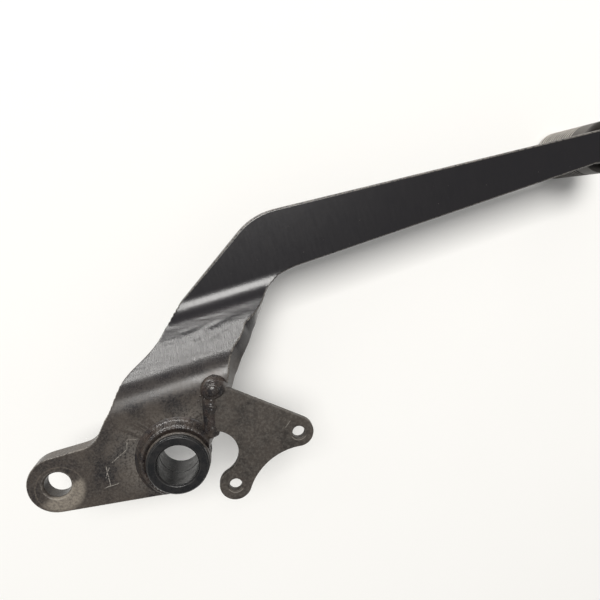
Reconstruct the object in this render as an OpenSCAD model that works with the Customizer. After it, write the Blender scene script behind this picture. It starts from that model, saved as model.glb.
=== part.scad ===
// Rear brake pedal of a motorcycle: a pressed steel lever with a welded pivot tube,
// a lapped spring bracket and a toe rubber. Millimetres.
// Origin: centre of the pivot bore, at half the tube's length. +Z runs along the bore to the inboard side,
// +X towards the toe end and +Y up towards the arm.

/* [Pivot] */
// Inside diameter of the bushes, which run on the pivot shaft
pivot_bore_d = 13; // [11:0.5:14]
// Wall of a bush
bush_wall = 1.5; // [1:0.1:2]
// Thickness of a bush's flange
bush_flange_t = 2; // [1:0.1:3]
// Distance that a bush's flange stops short of the tube's outside
bush_flange_inset = 0.3; // [0:0.1:1]
// Gap between the two bushes at the middle of the tube
bush_gap = 0.4; // [0.2:0.1:4]
// Wall of the pivot tube
tube_wall = 2; // [1.5:0.1:3]
// Length of the pivot tube without the flanges
tube_l = 14; // [12:0.5:24]
// Leg of the weld round the tube
tube_weld_leg = 3.3; // [2:0.1:4]

/* [Lever plate] */
// Thickness of the plate
plate_t = 6; // [4:0.5:8]
// Width of plate beyond the tube on the rounded end that cradles it
boss_land = 1.8; // [1:0.1:3]
// Distance that the cradle's centre lies behind the bore, so that the tube's front side stays bare
boss_shift = 1.9; // [1:0.1:2.6]
// Distance that the cradle's centre lies below the bore
boss_drop = 0.4; // [0:0.1:1]
// Distance from the pivot to the clevis pin's eye
eye_reach = 38.2; // [32:0.5:50]
// Direction from the pivot to the eye, in degrees from +X
eye_angle = 190.2; // [180:0.5:205]
// Diameter of the eye's hole
eye_hole_d = 8.2; // [6:0.1:10]
// Chamfer on the eye's hole, each side
eye_chamfer = 0.65; // [0.2:0.05:1]
// Radius of the plate round the eye
eye_end_r = 9.2; // [8:0.1:12]
// Radius of the inside corner between the eye arm and the lever
heel_r = 7; // [3:0.5:9]

/* [Joggle] */
// Distance that the double bend carries the arm outboard
joggle_offset = 20; // [12:0.5:26]
// Slope of the plate between the two bends, in degrees
joggle_slope = 50; // [42:1:56]
// Bend radius at the plate's mid plane
bend_r = 10; // [8:0.5:12]
// Distance from the pivot to the first bend line
bend_start = 18.5; // [17:0.5:24]
// Turn of the bend lines from +X, in degrees
bend_turn = 16; // [10:1:20]
// How far the sheared right-hand edge flares out towards the back in the bends
shear_flare = 3; // [1:0.25:4]

/* [Arm] */
// Distance from the pivot to the toe peg, along the bend lines
peg_along = 183.8; // [150:1:200]
// Distance from the second bend line to the toe peg
peg_rise = 10; // [6:0.5:14]
// Radius of the plate round the toe peg
lug_r = 6.8; // [6:0.1:8.4]
// Distance from the toe peg's axis to the line of the arm's lower edge
arm_end_low = 4.3; // [3.8:0.1:5.4]
// Length over which the arm widens into the plate round the toe peg
lug_blend = 9; // [8:0.5:14]
// Radius of the outer elbow
elbow_outer_r = 24; // [6:1:30]
// Radius of the inner elbow
elbow_inner_r = 30; // [10:1:40]

/* [Spring bracket] */
// Thickness of the bracket
bracket_t = 2.5; // [1.5:0.1:4]
// Diameter of the two spring holes
spring_hole_d = 4.1; // [3:0.1:5]
// Return spring's hole, along X from the pivot
return_hole_x = 38.5; // [34:0.5:46]
// Return spring's hole, along Y from the pivot
return_hole_y = 7.2; // [3:0.5:10]
// Radius of the bracket round the return spring's hole
return_lobe_r = 4.9; // [4:0.1:6]
// Switch spring's hole, along X from the pivot
switch_hole_x = 17.9; // [16:0.5:22]
// Switch spring's hole, below the pivot
switch_hole_drop = 9.5; // [8:0.5:16]
// Radius of the bracket round the switch spring's hole
switch_lobe_r = 5.2; // [4:0.1:6]
// Radius of the hollow edge between the two holes
bracket_hollow_r = 19.5; // [16:0.5:30]
// Distance from the pivot tube to the bracket's left edge, along X
bracket_gap = 1.5; // [1:0.1:3]
// Top left corner of the bracket, along Y from the pivot
bracket_top_y = 25; // [22:0.5:27]
// Diameter of the locating punch mark
punch_d = 1.4; // [0.8:0.1:2]
// Punch mark, along X from the pivot
punch_x = 25.7; // [23:0.1:28]
// Punch mark, along Y from the pivot
punch_y = 4; // [1:0.1:7]

/* [Bracket welds] */
// Leg of the seam along the bracket's left edge
seam_leg = 2; // [1:0.1:2.4]
// Radius of the domed weld on the bracket's corner
dome_r = 3.5; // [2.5:0.1:4.5]
// Height of the domed weld over the bracket
dome_rise = 2.2; // [1:0.1:3]
// Distance between the seam and the tube's weld, along the bracket's edge
seam_low_gap = 0.5; // [0.4:0.1:3]
// Distance from the bracket's top corner down to the domed weld's centre
dome_drop = 2.2; // [1:0.1:3]

/* [Toe peg] */
// Diameter of the steel stud
stud_d = 8; // [6:0.5:9]
// Diameter of the stud's retaining head
stud_head_d = 12; // [10.5:0.5:14]
// Thickness of the stud's retaining head
stud_head_t = 3; // [2:0.5:4]
// Leg of the weld round the stud
stud_weld_leg = 2; // [1:0.1:2.2]
// Outside diameter of the toe rubber
rubber_d = 19.6; // [17.5:0.1:24]
// Length of the toe rubber
rubber_l = 31; // [26:0.5:36]
// Thickness of the rubber's closed end
rubber_end_t = 2.5; // [1.5:0.1:4]
// Width of the plain collar next to the arm
collar_w = 8; // [4:0.5:9]
// Number of grooves round the rubber
groove_count = 13; // [6:1:14]
// Width of a groove
groove_w = 0.8; // [0.6:0.1:0.9]
// Depth of a groove
groove_depth = 0.8; // [0.4:0.1:1.2]
// Width of the plain rim at the rubber's closed end
rim_w = 2.4; // [1:0.1:3]

/* [Hidden] */
$fn = 96;
// Clearance between turned pieces that sit in each other
fit = 0.03;
// Overlap that makes a cut pass right through
cut = 1;
// Chamfers on the tube's ends, on the bushes' mouths and round the rubber's ends
tube_edge = 0.3;
bush_edge = 0.5;
rubber_edge = 0.6;
// Depth to which the bracket's hollow edges bite into its lobes
lobe_bite = 0.02;
// Flat at the bottom of the punch mark
punch_tip_d = 0.3;
// Slant of a groove's sides
groove_slant = 0.15;
// Room between the toe rubber and the stud's weld
weld_room = 0.2;
half_t = plate_t / 2;
tube_d = pivot_bore_d + 2 * (bush_wall + tube_wall);
boss_r = tube_d / 2 + boss_land;
weld_toe_r = tube_d / 2 + tube_weld_leg;
bracket_edge_x = tube_d / 2 + bracket_gap;

// Length of the straight run between the bends, and the second bend line
run_l = (joggle_offset - 2 * bend_r * (1 - cos(joggle_slope))) / sin(joggle_slope);
bend_end = bend_start + 2 * bend_r * sin(joggle_slope) + run_l * cos(joggle_slope);
arm_z = -joggle_offset;

// The bend frame: w runs along the bend lines and s across them, from the pivot
function turned(w, s) = [
    w * cos(bend_turn) - s * sin(bend_turn),
    w * sin(bend_turn) + s * cos(bend_turn)
];
// A place in the joggle: f is 0 at the first bend line and 1 at the second
function joggle_s(f) = bend_start + f * (bend_end - bend_start);

// Slope and height of the plate's front face at a distance s across the bends
function front_slope(s) = s <= bend_start || s >= bend_end ? 0 : min(
    joggle_slope,
    asin(min(1, (s - bend_start) / (bend_r + half_t))),
    asin(min(1, (bend_end - s) / (bend_r - half_t)))
);
function front_z(s) =
    s <= bend_start ? half_t
    : s >= bend_end ? half_t - joggle_offset
    : s < bend_start + (bend_r + half_t) * sin(joggle_slope)
    ? (bend_r + half_t) * cos(front_slope(s)) - bend_r
    : s > bend_end - (bend_r - half_t) * sin(joggle_slope)
    ? bend_r - joggle_offset - (bend_r - half_t) * cos(front_slope(s))
    : (bend_r + half_t) * cos(joggle_slope) - bend_r
      - (s - bend_start - (bend_r + half_t) * sin(joggle_slope)) * tan(joggle_slope);

// Left edge of the lever: place in the joggle, and distance along the bend lines. The first and the last
// point give the directions in which the edge runs on
heel_edge = [
    [-0.15, -21.7], [0, -18.4], [0.12, -15.3], [0.35, -10.6], [0.45, -7], [0.55, -1.6],
    [0.66, 3], [0.83, 7.6], [1, 12.6], [1.15, 18.4]
];
// Sheared right edge: place in the joggle, distance along the bend lines, and share of the flare. The first and
// the last point give directions only
shear_edge = [
    [-1.3, boss_r + 2.5, 0], [-0.95, boss_r + 2, 0], [-0.72, boss_r - boss_shift + 0.4, 0.1],
    [-0.52, 14.3, 0.5], [-0.17, 19.4, 0.8], [0.06, 22.4, 1], [0.25, 24.5, 1],
    [0.36, 26.6, 0.8], [0.43, 29.3, 0.5], [0.5, 31.4, 0.4], [0.56, 32.4, 0.5], [0.6, 34.6, 0.1],
    [0.65, 37.3, -0.4], [0.75, 40.6, -0.8], [0.88, 43.8, -0.4], [1, 49.1, 0],
    [1.1, 53, 0]
];
// Corners of the elbow: distance along the bend lines, and distance past the second one
elbow_outer = [46, 22.7];
elbow_inner = [54.2, 1.1];
// Steps between two points of an edge that is cut across the bends
edge_steps = 4;
// Width of blank left beyond such an edge before it is cut
blank_margin = 14;

// Lengths along and turns of lines in the plane
function unit(a) = a / norm(a);
function left_of(a) = [-a.y, a.x];
function side(a, b, c) = (b.x - a.x) * (c.y - a.y) - (b.y - a.y) * (c.x - a.x);
function meet(a, b, c, d) = a + (b - a) * (side(a, c, d) / (side(a, c, d) - side(b, c, d)));
// Where the line from p touches the circle of centre c and radius r, on the side given by the sign of r
function touch(p, c, r) = let (d = norm(c - p), k = asin(r / d), e = unit(c - p))
    p + sqrt(d * d - r * r) * [e.x * cos(k) + e.y * sin(k), e.y * cos(k) - e.x * sin(k)];

// A smooth curve through all but the first and last of the points, in equal steps between them
function smooth_point(p, i, t) = 0.5 * (
    2 * p[i] + (p[i + 1] - p[i - 1]) * t
    + (2 * p[i - 1] - 5 * p[i] + 4 * p[i + 1] - p[i + 2]) * t * t
    + (3 * p[i] - p[i - 1] - 3 * p[i + 1] + p[i + 2]) * t * t * t
);
function smooth_line(p) = [
    for (i = [1:len(p) - 3], k = [0:edge_steps - 1]) smooth_point(p, i, k / edge_steps),
    p[len(p) - 2]
];

eye = eye_reach * [cos(eye_angle), sin(eye_angle)];
boss = [-boss_shift, -boss_drop];
peg = turned(peg_along, bend_end + peg_rise);

// Ends of the outer tangents of the eye's end and the boss
web_l = norm(eye - boss);
web_lean = asin((boss_r - eye_end_r) / web_l);
web_turn = atan2(eye.y - boss.y, eye.x - boss.x);
web_up = [cos(web_turn - 90 + web_lean), sin(web_turn - 90 + web_lean)];
web_down = [cos(web_turn + 90 - web_lean), sin(web_turn + 90 - web_lean)];

// Outline from [x, y, radius] corners, with true arcs. Corners run anticlockwise.
module rounded_outline(v) {
    n = len(v);
    p = [for (q = v) [q.x, q.y]];
    turn = [for (i = [0:n - 1]) side(p[(i + n - 1) % n], p[i], p[(i + 1) % n])];
    to_last = [for (i = [0:n - 1]) unit(p[(i + n - 1) % n] - p[i])];
    to_next = [for (i = [0:n - 1]) unit(p[(i + 1) % n] - p[i])];
    half_angle = [for (i = [0:n - 1]) acos(max(-1, min(1, to_last[i] * to_next[i]))) / 2];
    reach = [for (i = [0:n - 1]) v[i][2] / tan(half_angle[i])];
    first = [for (i = [0:n - 1]) p[i] + to_last[i] * reach[i]];
    second = [for (i = [0:n - 1]) p[i] + to_next[i] * reach[i]];
    centre = [for (i = [0:n - 1]) v[i][2] == 0 ? p[i]
        : p[i] + unit(to_last[i] + to_next[i]) * v[i][2] / sin(half_angle[i])];
    difference() {
        union() {
            polygon([for (i = [0:n - 1]) each v[i][2] == 0 ? [p[i]] : [first[i], second[i]]]);
            for (i = [0:n - 1])
                if (v[i][2] > 0 && turn[i] > 0)
                    corner_disc(first[i], p[i], second[i], centre[i], v[i][2]);
        }
        for (i = [0:n - 1])
            if (v[i][2] > 0 && turn[i] < 0)
                corner_disc(first[i], p[i], second[i], centre[i], v[i][2]);
    }
}

module corner_disc(a, p, b, c, r) {
    intersection() {
        polygon([a, p, b]);
        translate(c) circle(r = r);
    }
}

// A ring sector between two angles
module ring_sector(r_in, r_out, from, to) {
    far = 2 * r_out;
    intersection() {
        difference() {
            circle(r = r_out);
            circle(r = r_in);
        }
        polygon([
            [0, 0], far * [cos(from), sin(from)],
            far * [cos((from + to) / 2), sin((from + to) / 2)], far * [cos(to), sin(to)]
        ]);
    }
}

// Section of the plate across the bends: x is s, y is the height
module strip_section() {
    reach_back = eye_reach + eye_end_r + boss_r;
    reach_on = peg_along;
    translate([-reach_back, -half_t]) square([reach_back + bend_start, plate_t]);
    translate([bend_start, -bend_r])
        ring_sector(bend_r - half_t, bend_r + half_t, 90 - joggle_slope, 90);
    translate([bend_start + bend_r * sin(joggle_slope), bend_r * (cos(joggle_slope) - 1)])
        rotate(-joggle_slope) translate([0, -half_t]) square([run_l, plate_t]);
    translate([bend_end, bend_r - joggle_offset])
        ring_sector(bend_r - half_t, bend_r + half_t, -90 - joggle_slope, -90);
    translate([bend_end, arm_z - half_t]) square([reach_on, plate_t]);
}

module bent_strip() {
    reach_left = eye_reach + 2 * boss_r;
    reach_right = peg_along + 4 * lug_r;
    rotate([0, 0, bend_turn]) translate([-reach_left, 0, 0]) rotate([90, 0, 90])
        linear_extrude(height = reach_left + reach_right) strip_section();
}

// Plan of the whole lever, with blank left where the two edges are cut across the bends
module lever_plan() {
    heel_n = len(heel_edge);
    heel = [for (e = heel_edge) turned(e[1], joggle_s(e[0]))];
    heel_corner = meet(eye + eye_end_r * web_up, boss + boss_r * web_up, heel[0], heel[1]);
    outer = turned(elbow_outer[0], bend_end + elbow_outer[1]);
    inner = turned(elbow_inner[0], bend_end + elbow_inner[1]);
    shear_n = len(shear_edge);
    shear_end = turned(shear_edge[shear_n - 2][1], bend_end);
    foot = touch(inner, peg, arm_end_low);
    neck = foot - lug_blend * unit(foot - inner);
    heel_blank = [for (i = [heel_n - 3:-1:2])
        turned(heel_edge[i][1] - blank_margin, joggle_s(heel_edge[i][0]))];
    shear_blank = [for (i = [2:shear_n - 4])
        turned(shear_edge[i][1] + blank_margin, joggle_s(shear_edge[i][0]))];
    sharp = function(list) [for (q = list) [q.x, q.y, 0]];
    rounded_outline([
        each sharp([eye, boss]),
        each sharp(shear_blank),
        each sharp([shear_end]),
        [inner.x, inner.y, elbow_inner_r],
        [neck.x, neck.y, lug_r],
        each sharp([touch(neck, peg, lug_r), peg, touch(outer, peg, -lug_r)]),
        [outer.x, outer.y, elbow_outer_r],
        each sharp([heel[heel_n - 2]]),
        each sharp(heel_blank),
        each sharp([heel[1]]),
        [heel_corner.x, heel_corner.y, heel_r],
        each sharp([eye + eye_end_r * web_up])
    ]);
    web_plan();
    translate(peg) circle(r = lug_r);
}

// The eye's end, the boss and the web between them
module web_plan() {
    polygon([
        eye, eye + eye_end_r * web_down, boss + boss_r * web_down,
        boss, boss + boss_r * web_up, eye + eye_end_r * web_up
    ]);
    translate(eye) circle(r = eye_end_r);
    translate(boss) circle(r = boss_r);
}

// What is cut off along one edge in the bends: a ruled wall that stands square to the bent plate, or slants
// where the edge flares. Stations run along the edge with the waste on their right, and aside is 1 if w grows
// that way.
module edge_waste(edge, aside) {
    n = len(edge);
    // The wall runs past both faces of the plate by this share of its thickness
    over = 0.6;
    wide = 3 * blank_margin;
    s = [for (e = edge) joggle_s(e[0])];
    face = [for (i = [0:n - 1]) [edge[i][1], s[i], front_z(s[i])]];
    back = [for (i = [0:n - 1]) face[i] + [
        shear_flare * edge[i][2], -plate_t * sin(front_slope(s[i])), -plate_t * cos(front_slope(s[i]))
    ]];
    above = [for (i = [0:n - 1]) face[i] + over * (face[i] - back[i])];
    below = [for (i = [0:n - 1]) back[i] - over * (face[i] - back[i])];
    rotate([0, 0, bend_turn]) polyhedron(
        points = [
            each above, each below,
            for (q = below) q + [aside * wide, 0, 0], for (q = above) q + [aside * wide, 0, 0]
        ],
        faces = [
            for (i = [0:n - 2], k = [0:3]) let (a = k * n + i, b = (k + 1) % 4 * n + i)
                each [[a, b + 1, a + 1], [a, b, b + 1]],
            [0, 3 * n, 2 * n], [0, 2 * n, n],
            [n - 1, 2 * n - 1, 3 * n - 1], [n - 1, 3 * n - 1, 4 * n - 1]
        ]
    );
}

module lever_plate() color([0.13, 0.12, 0.12]) {
    deep = joggle_offset + plate_t + 2 * cut;
    heel_down = [for (i = [len(heel_edge) - 1:-1:0]) [heel_edge[i][0], heel_edge[i][1], 0]];
    difference() {
        intersection() {
            bent_strip();
            translate([0, 0, half_t + cut - deep]) linear_extrude(height = deep) lever_plan();
        }
        edge_waste(smooth_line(shear_edge), 1);
        edge_waste(smooth_line(heel_down), -1);
        cylinder(d = tube_d + 2 * fit, h = plate_t + 2 * cut, center = true);
        translate([eye.x, eye.y, 0]) {
            cylinder(d = eye_hole_d, h = plate_t + 2 * cut, center = true);
            for (up = [0, 1]) mirror([0, 0, up]) translate([0, 0, half_t - eye_chamfer])
                cylinder(d1 = eye_hole_d, d2 = eye_hole_d + 2 * (eye_chamfer + cut), h = eye_chamfer + cut);
        }
        translate([peg.x, peg.y, arm_z])
            cylinder(d = stud_d + 2 * fit, h = plate_t + 2 * cut, center = true);
    }
}

module pivot_tube() color([0.2, 0.2, 0.21]) {
    edge = tube_edge;
    bore_r = pivot_bore_d / 2 + bush_wall + fit;
    rotate_extrude() polygon([
        [bore_r, -tube_l / 2], [tube_d / 2 - edge, -tube_l / 2], [tube_d / 2, edge - tube_l / 2],
        [tube_d / 2, tube_l / 2 - edge], [tube_d / 2 - edge, tube_l / 2], [bore_r, tube_l / 2]
    ]);
}

// Flanged bush for the tube's +Z end
module bush() color([0.1, 0.1, 0.11]) {
    bore_r = pivot_bore_d / 2;
    flange_r = tube_d / 2 - bush_flange_inset;
    top = tube_l / 2 + bush_flange_t;
    edge = min(bush_edge, bush_flange_t / 3);
    rotate_extrude() polygon([
        [bore_r, bush_gap / 2], [bore_r + bush_wall, bush_gap / 2], [bore_r + bush_wall, tube_l / 2],
        [flange_r, tube_l / 2], [flange_r, top - edge], [flange_r - edge, top],
        [bore_r + edge, top], [bore_r, top - edge]
    ]);
}

module inner_bush() bush();
module outer_bush() mirror([0, 0, 1]) bush();

// Convex fillet of equal legs, from the corner at [0, 0], crowned by a share of its leg
module weld_section(leg) {
    crown = 0.64 * leg;
    polygon([[0, 0], [leg, 0], [crown + 0.07 * leg, crown - 0.03 * leg], [0, leg]]);
}

// Fillet weld round the tube on the plate's +Z face, no wider than the plate
module tube_weld() color([0.16, 0.15, 0.15]) {
    intersection() {
        translate([0, 0, half_t]) rotate_extrude() translate([tube_d / 2, 0]) weld_section(tube_weld_leg);
        linear_extrude(height = half_t + 2 * tube_weld_leg) union() {
            web_plan();
            polygon([
                boss, for (i = [2:4]) turned(shear_edge[i][1], joggle_s(shear_edge[i][0])),
                turned(shear_edge[4][1], bend_start), turned(heel_edge[1][1], bend_start), eye
            ]);
        }
    }
}

module tube_weld_inner() tube_weld();
module tube_weld_outer() mirror([0, 0, 1]) tube_weld();

return_hole = [return_hole_x, return_hole_y];
switch_hole = [switch_hole_x, -switch_hole_drop];
bracket_corner = [bracket_edge_x, bracket_top_y];
// Centre of the hollow edge, which touches both lobes
hollow_a = return_lobe_r + bracket_hollow_r;
hollow_b = switch_lobe_r + bracket_hollow_r;
hole_pitch = norm(return_hole - switch_hole);
hollow_k = (hollow_b * hollow_b - hollow_a * hollow_a + hole_pitch * hole_pitch) / (2 * hole_pitch);
hole_line = unit(return_hole - switch_hole);
hollow = switch_hole + hollow_k * hole_line
    - left_of(hole_line) * sqrt(hollow_b * hollow_b - hollow_k * hollow_k);
// Centre and radius of the cut-out round the pivot tube, which touches the lower lobe
throat = [bracket_edge_x - 0.1, 1.5];
throat_r = norm(throat - switch_hole) - switch_lobe_r + lobe_bite;

module bracket_plan() {
    top = touch(bracket_corner, return_hole, -return_lobe_r);
    difference() {
        union() {
            polygon([
                bracket_corner, [bracket_edge_x, throat.y], throat, switch_hole, hollow, return_hole, top
            ]);
            translate(return_hole) circle(r = return_lobe_r);
            translate(switch_hole) circle(r = switch_lobe_r);
        }
        translate(hollow) circle(r = bracket_hollow_r + lobe_bite);
        translate(throat) circle(r = throat_r);
    }
}

module spring_bracket() color([0.24, 0.22, 0.2]) {
    difference() {
        translate([0, 0, half_t]) linear_extrude(height = bracket_t) bracket_plan();
        for (q = [return_hole, switch_hole]) translate([q.x, q.y, half_t - cut])
            cylinder(d = spring_hole_d, h = bracket_t + 2 * cut);
        translate([punch_x, punch_y, half_t + bracket_t])
            cylinder(d1 = punch_tip_d, d2 = 2 * punch_d - punch_tip_d, h = punch_d, center = true);
    }
}

// The domed weld that runs over the bracket's top corner
module corner_dome() {
    h = bracket_t + dome_rise;
    translate([bracket_edge_x, bracket_top_y - dome_drop, half_t]) rotate_extrude() polygon([
        [0, 0], [dome_r, 0], [dome_r, 0.35 * h], [0.85 * dome_r, 0.7 * h],
        [0.5 * dome_r, 0.93 * h], [0, h]
    ]);
}

module bracket_seam_weld() color([0.2, 0.18, 0.17]) {
    weld_top = sqrt(weld_toe_r * weld_toe_r - pow(bracket_edge_x - seam_leg, 2));
    low = max(throat.y + throat_r, weld_top) + seam_low_gap;
    high = bracket_top_y - dome_drop;
    difference() {
        translate([bracket_edge_x, low, half_t]) rotate([90, 0, 180]) linear_extrude(height = high - low)
            weld_section(seam_leg);
        corner_dome();
    }
}

module bracket_corner_weld() color([0.3, 0.3, 0.3]) {
    difference() {
        corner_dome();
        translate([0, 0, half_t - cut]) linear_extrude(height = bracket_t + cut) bracket_plan();
    }
}

peg_face_z = arm_z - half_t;

module toe_stud() color([0.4, 0.4, 0.4]) {
    low = peg_face_z - rubber_l + rubber_end_t + fit;
    translate([peg.x, peg.y, low]) {
        cylinder(d = stud_head_d, h = stud_head_t);
        translate([0, 0, stud_head_t]) cylinder(d = stud_d, h = arm_z + half_t - low - stud_head_t);
    }
}

module toe_stud_weld() color([0.2, 0.18, 0.17]) {
    translate([peg.x, peg.y, peg_face_z]) mirror([0, 0, 1]) rotate_extrude()
        translate([stud_d / 2, 0]) weld_section(stud_weld_leg);
}

module toe_rubber() color([0.09, 0.09, 0.09]) {
    r = rubber_d / 2;
    edge = rubber_edge;
    pitch = (rubber_l - collar_w - rim_w - groove_w) / (groove_count - 1);
    head_floor = rubber_l - rubber_end_t;
    head_top = head_floor - stud_head_t - fit;
    shank_r = stud_d / 2 + fit;
    head_r = stud_head_d / 2 + fit;
    weld_h = stud_weld_leg + weld_room;
    // Height runs from the arm's back face to the closed end
    translate([peg.x, peg.y, peg_face_z]) mirror([0, 0, 1]) rotate_extrude() polygon([
        [shank_r + weld_h, 0], [r - edge, 0], [r, edge],
        for (i = [0:groove_count - 1]) let (low = collar_w + i * pitch) each [
            [r, low], [r - groove_depth, low + groove_slant],
            [r - groove_depth, low + groove_w - groove_slant], [r, low + groove_w]
        ],
        [r, rubber_l - edge], [r - edge, rubber_l], [0, rubber_l],
        [0, head_floor], [head_r, head_floor], [head_r, head_top],
        [shank_r, head_top], [shank_r, weld_h], [shank_r + weld_h, weld_h]
    ]);
}

lever_plate();
pivot_tube();
inner_bush();
outer_bush();
tube_weld_inner();
tube_weld_outer();
spring_bracket();
bracket_seam_weld();
bracket_corner_weld();
toe_stud();
toe_stud_weld();
toe_rubber();
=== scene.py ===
import math
from random import Random

import bmesh
import bpy
from bpy.props import FloatProperty, FloatVectorProperty, IntProperty, PointerProperty
from bpy.types import Operator, Panel, PropertyGroup
from mathutils import Matrix, Vector
from mathutils.bvhtree import BVHTree
from mathutils.geometry import delaunay_2d_cdt


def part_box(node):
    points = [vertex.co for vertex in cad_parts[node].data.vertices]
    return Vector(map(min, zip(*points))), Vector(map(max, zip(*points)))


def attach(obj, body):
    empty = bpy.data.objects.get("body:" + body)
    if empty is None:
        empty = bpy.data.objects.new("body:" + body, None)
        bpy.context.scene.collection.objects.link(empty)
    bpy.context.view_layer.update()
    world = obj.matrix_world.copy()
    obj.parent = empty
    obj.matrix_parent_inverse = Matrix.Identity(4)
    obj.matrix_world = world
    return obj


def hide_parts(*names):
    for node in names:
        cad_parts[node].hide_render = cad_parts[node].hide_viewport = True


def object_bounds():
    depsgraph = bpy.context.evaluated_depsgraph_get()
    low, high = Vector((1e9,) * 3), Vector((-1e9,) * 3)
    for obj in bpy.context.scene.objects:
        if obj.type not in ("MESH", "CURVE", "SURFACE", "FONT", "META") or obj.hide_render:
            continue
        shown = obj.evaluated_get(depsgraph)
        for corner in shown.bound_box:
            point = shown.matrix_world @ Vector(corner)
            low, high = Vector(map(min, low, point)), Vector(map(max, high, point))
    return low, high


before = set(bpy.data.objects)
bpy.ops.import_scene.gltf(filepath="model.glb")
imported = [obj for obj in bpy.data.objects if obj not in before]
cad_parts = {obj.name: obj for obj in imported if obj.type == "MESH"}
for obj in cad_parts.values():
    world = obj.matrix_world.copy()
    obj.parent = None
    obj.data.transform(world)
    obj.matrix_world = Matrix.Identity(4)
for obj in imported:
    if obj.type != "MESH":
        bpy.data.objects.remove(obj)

bl_info = {
    "name": "Rear brake pedal",
    "version": (1, 0, 0),
    "blender": (4, 5, 0),
    "location": "3D View > Sidebar > Brake Pedal",
    "description": "Dresses the packed rear brake pedal: paint, welds, rubber, light and camera",
    "category": "Object",
}

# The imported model's box, kept from before anything is added
CAD_BOX = [list(corner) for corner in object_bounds()]
MM = 0.001

# Places on the part, in millimetres from the pivot's centre
EYE = (-37.6, -6.76)
PEG = (161.63, 103.15)
PLATE_T = 6.0
PLATE_FRONT = PLATE_T / 2
ARM_BACK = -23.0
BRACKET_FRONT = 5.5
CORNER_WELD = (11.5, 22.8)
RETURN_HOLE = (38.5, 7.2)
SWITCH_HOLE = (17.9, -9.5)
TUBE_R = 10.0
BEND_TURN = math.radians(16)

# The camera's place in metres, and its right, up and back directions
CAMERA_PLACE = (0.0150, 0.0757, 0.1660)
CAMERA_RIGHT = (0.98912, 0.0, 0.1471)
CAMERA_UP = (0.02243, 0.98825, -0.1508)
CAMERA_BACK = (-0.14537, 0.15246, 0.9775)


# Sizes and colours that a user would change

def size(name, description, millimetres, low=0.0, high=50.0):
    return FloatProperty(name=name, description=description, default=millimetres * MM, min=low * MM,
                         max=high * MM, unit="LENGTH", subtype="DISTANCE", precision=5)


def colour(name, description, value):
    return FloatVectorProperty(name=name, description=description, default=value, min=0, max=1, size=3,
                               subtype="COLOR")


class PEDAL_PG_sizes(PropertyGroup):
    plate_round: size("Plate edge rounding", "Rounding of the pressed plate's edges", 0.4, 0.1, 0.6)
    bracket_round: size("Bracket edge rounding", "Rounding of the stamped bracket's edges", 0.25, 0.05, 0.4)
    turned_round: size("Turned edge rounding", "Rounding of the tube's and bushes' edges", 0.12, 0.05, 0.3)
    weld_reach: size("Tube weld reach", "How far the weld spreads on the plate from the tube", 3.9, 2, 5)
    weld_crest: size("Tube weld crest", "Height of the weld's crest over the plate", 3.3, 2, 4)
    ripple_pitch: size("Weld ripple pitch", "Distance between two ripples of a weld", 1.3, 0.5, 3)
    ripple_depth: size("Weld ripple depth", "Height of a weld's ripples", 0.09, 0, 0.5)
    seam_width: size("Seam width", "Greatest width of the seam on the bracket's edge", 6.36, 2, 8)
    rib_depth: size("Rib height", "Depth of the grooves between the rubber's ribs", 0.8, 0.3, 1.2)
    rib_collar: size("Plain collar", "Width of the rubber's plain collar next to the arm", 8, 4, 9)
    rib_rim: size("Plain rim", "Width of the rubber's plain rim at its far end", 2.4, 1, 3)
    rib_gap: size("Groove width", "Width of a groove between two ribs", 0.8, 0.6, 1.2)
    rib_count: IntProperty(name="Grooves", description="Number of grooves round the rubber", default=13,
                           min=6, max=14)


class PEDAL_PG_colours(PropertyGroup):
    paint: colour("Paint", "Black paint of the lever", (0.0095, 0.0086, 0.0105))
    bracket: colour("Bracket paint", "Brown-black paint of the spring bracket", (0.0165, 0.0135, 0.0115))
    dust: colour("Dust", "Dust in the paint's grain", (0.075, 0.058, 0.044))
    # Pale colour of scratched and rubbed paint, also used for painted highlight on rims, hole edges and weld
    # crests
    bare_and_sheen: colour("Scratched paint", "Scratches and rubbed edges", (0.33, 0.305, 0.27))
    burn: colour("Weld burn", "Brown burn round a weld", (0.05, 0.028, 0.022))
    bush: colour("Bush", "Blue-black bush", (0.0055, 0.006, 0.0072))
    stud: colour("Stud", "Dull steel of the toe peg", (0.25, 0.24, 0.23))
    rubber: colour("Rubber", "Brown-black rubber of the toe peg", (0.022, 0.018, 0.015))
    rubber_dust: colour("Rubber dust", "Grey dust on the rubber's ribs", (0.38, 0.355, 0.32))
    table: colour("Table", "Pale table under the part", (0.955, 0.95, 0.93))


def sizes():
    return bpy.context.scene.pedal_sizes


def colours():
    return bpy.context.scene.pedal_colours


# Node trees

def put(tree, kind, **settings):
    item = tree.nodes.new(kind)
    for key, value in settings.items():
        setattr(item, key, value)
    return item


def feed(tree, socket, value):
    """Links a socket to an input, or sets the input to a plain value."""
    if isinstance(value, bpy.types.NodeSocket):
        tree.links.new(value, socket)
    elif hasattr(socket.default_value, "__len__") and len(socket.default_value) == 4 and len(value) == 3:
        socket.default_value = (*value, 1)
    else:
        socket.default_value = value


def calc(tree, operation, *values, clamp=False):
    item = put(tree, "ShaderNodeMath", operation=operation, use_clamp=clamp)
    for socket, value in zip(item.inputs, values):
        feed(tree, socket, value)
    return item.outputs[0]


def times(tree, *values):
    return calc(tree, "MULTIPLY", *values)


def plus(tree, *values, clamp=False):
    return calc(tree, "ADD", *values, clamp=clamp)


def minus(tree, *values):
    return calc(tree, "SUBTRACT", *values)


def vector(tree, operation, *values):
    item = put(tree, "ShaderNodeVectorMath", operation=operation)
    for name, value in zip(("Vector", "Vector_001", "Vector_002"), values):
        feed(tree, next(s for s in item.inputs if s.identifier == name), value)
    return item.outputs["Value" if operation in ("DOT_PRODUCT", "LENGTH", "DISTANCE") else "Vector"]


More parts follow.
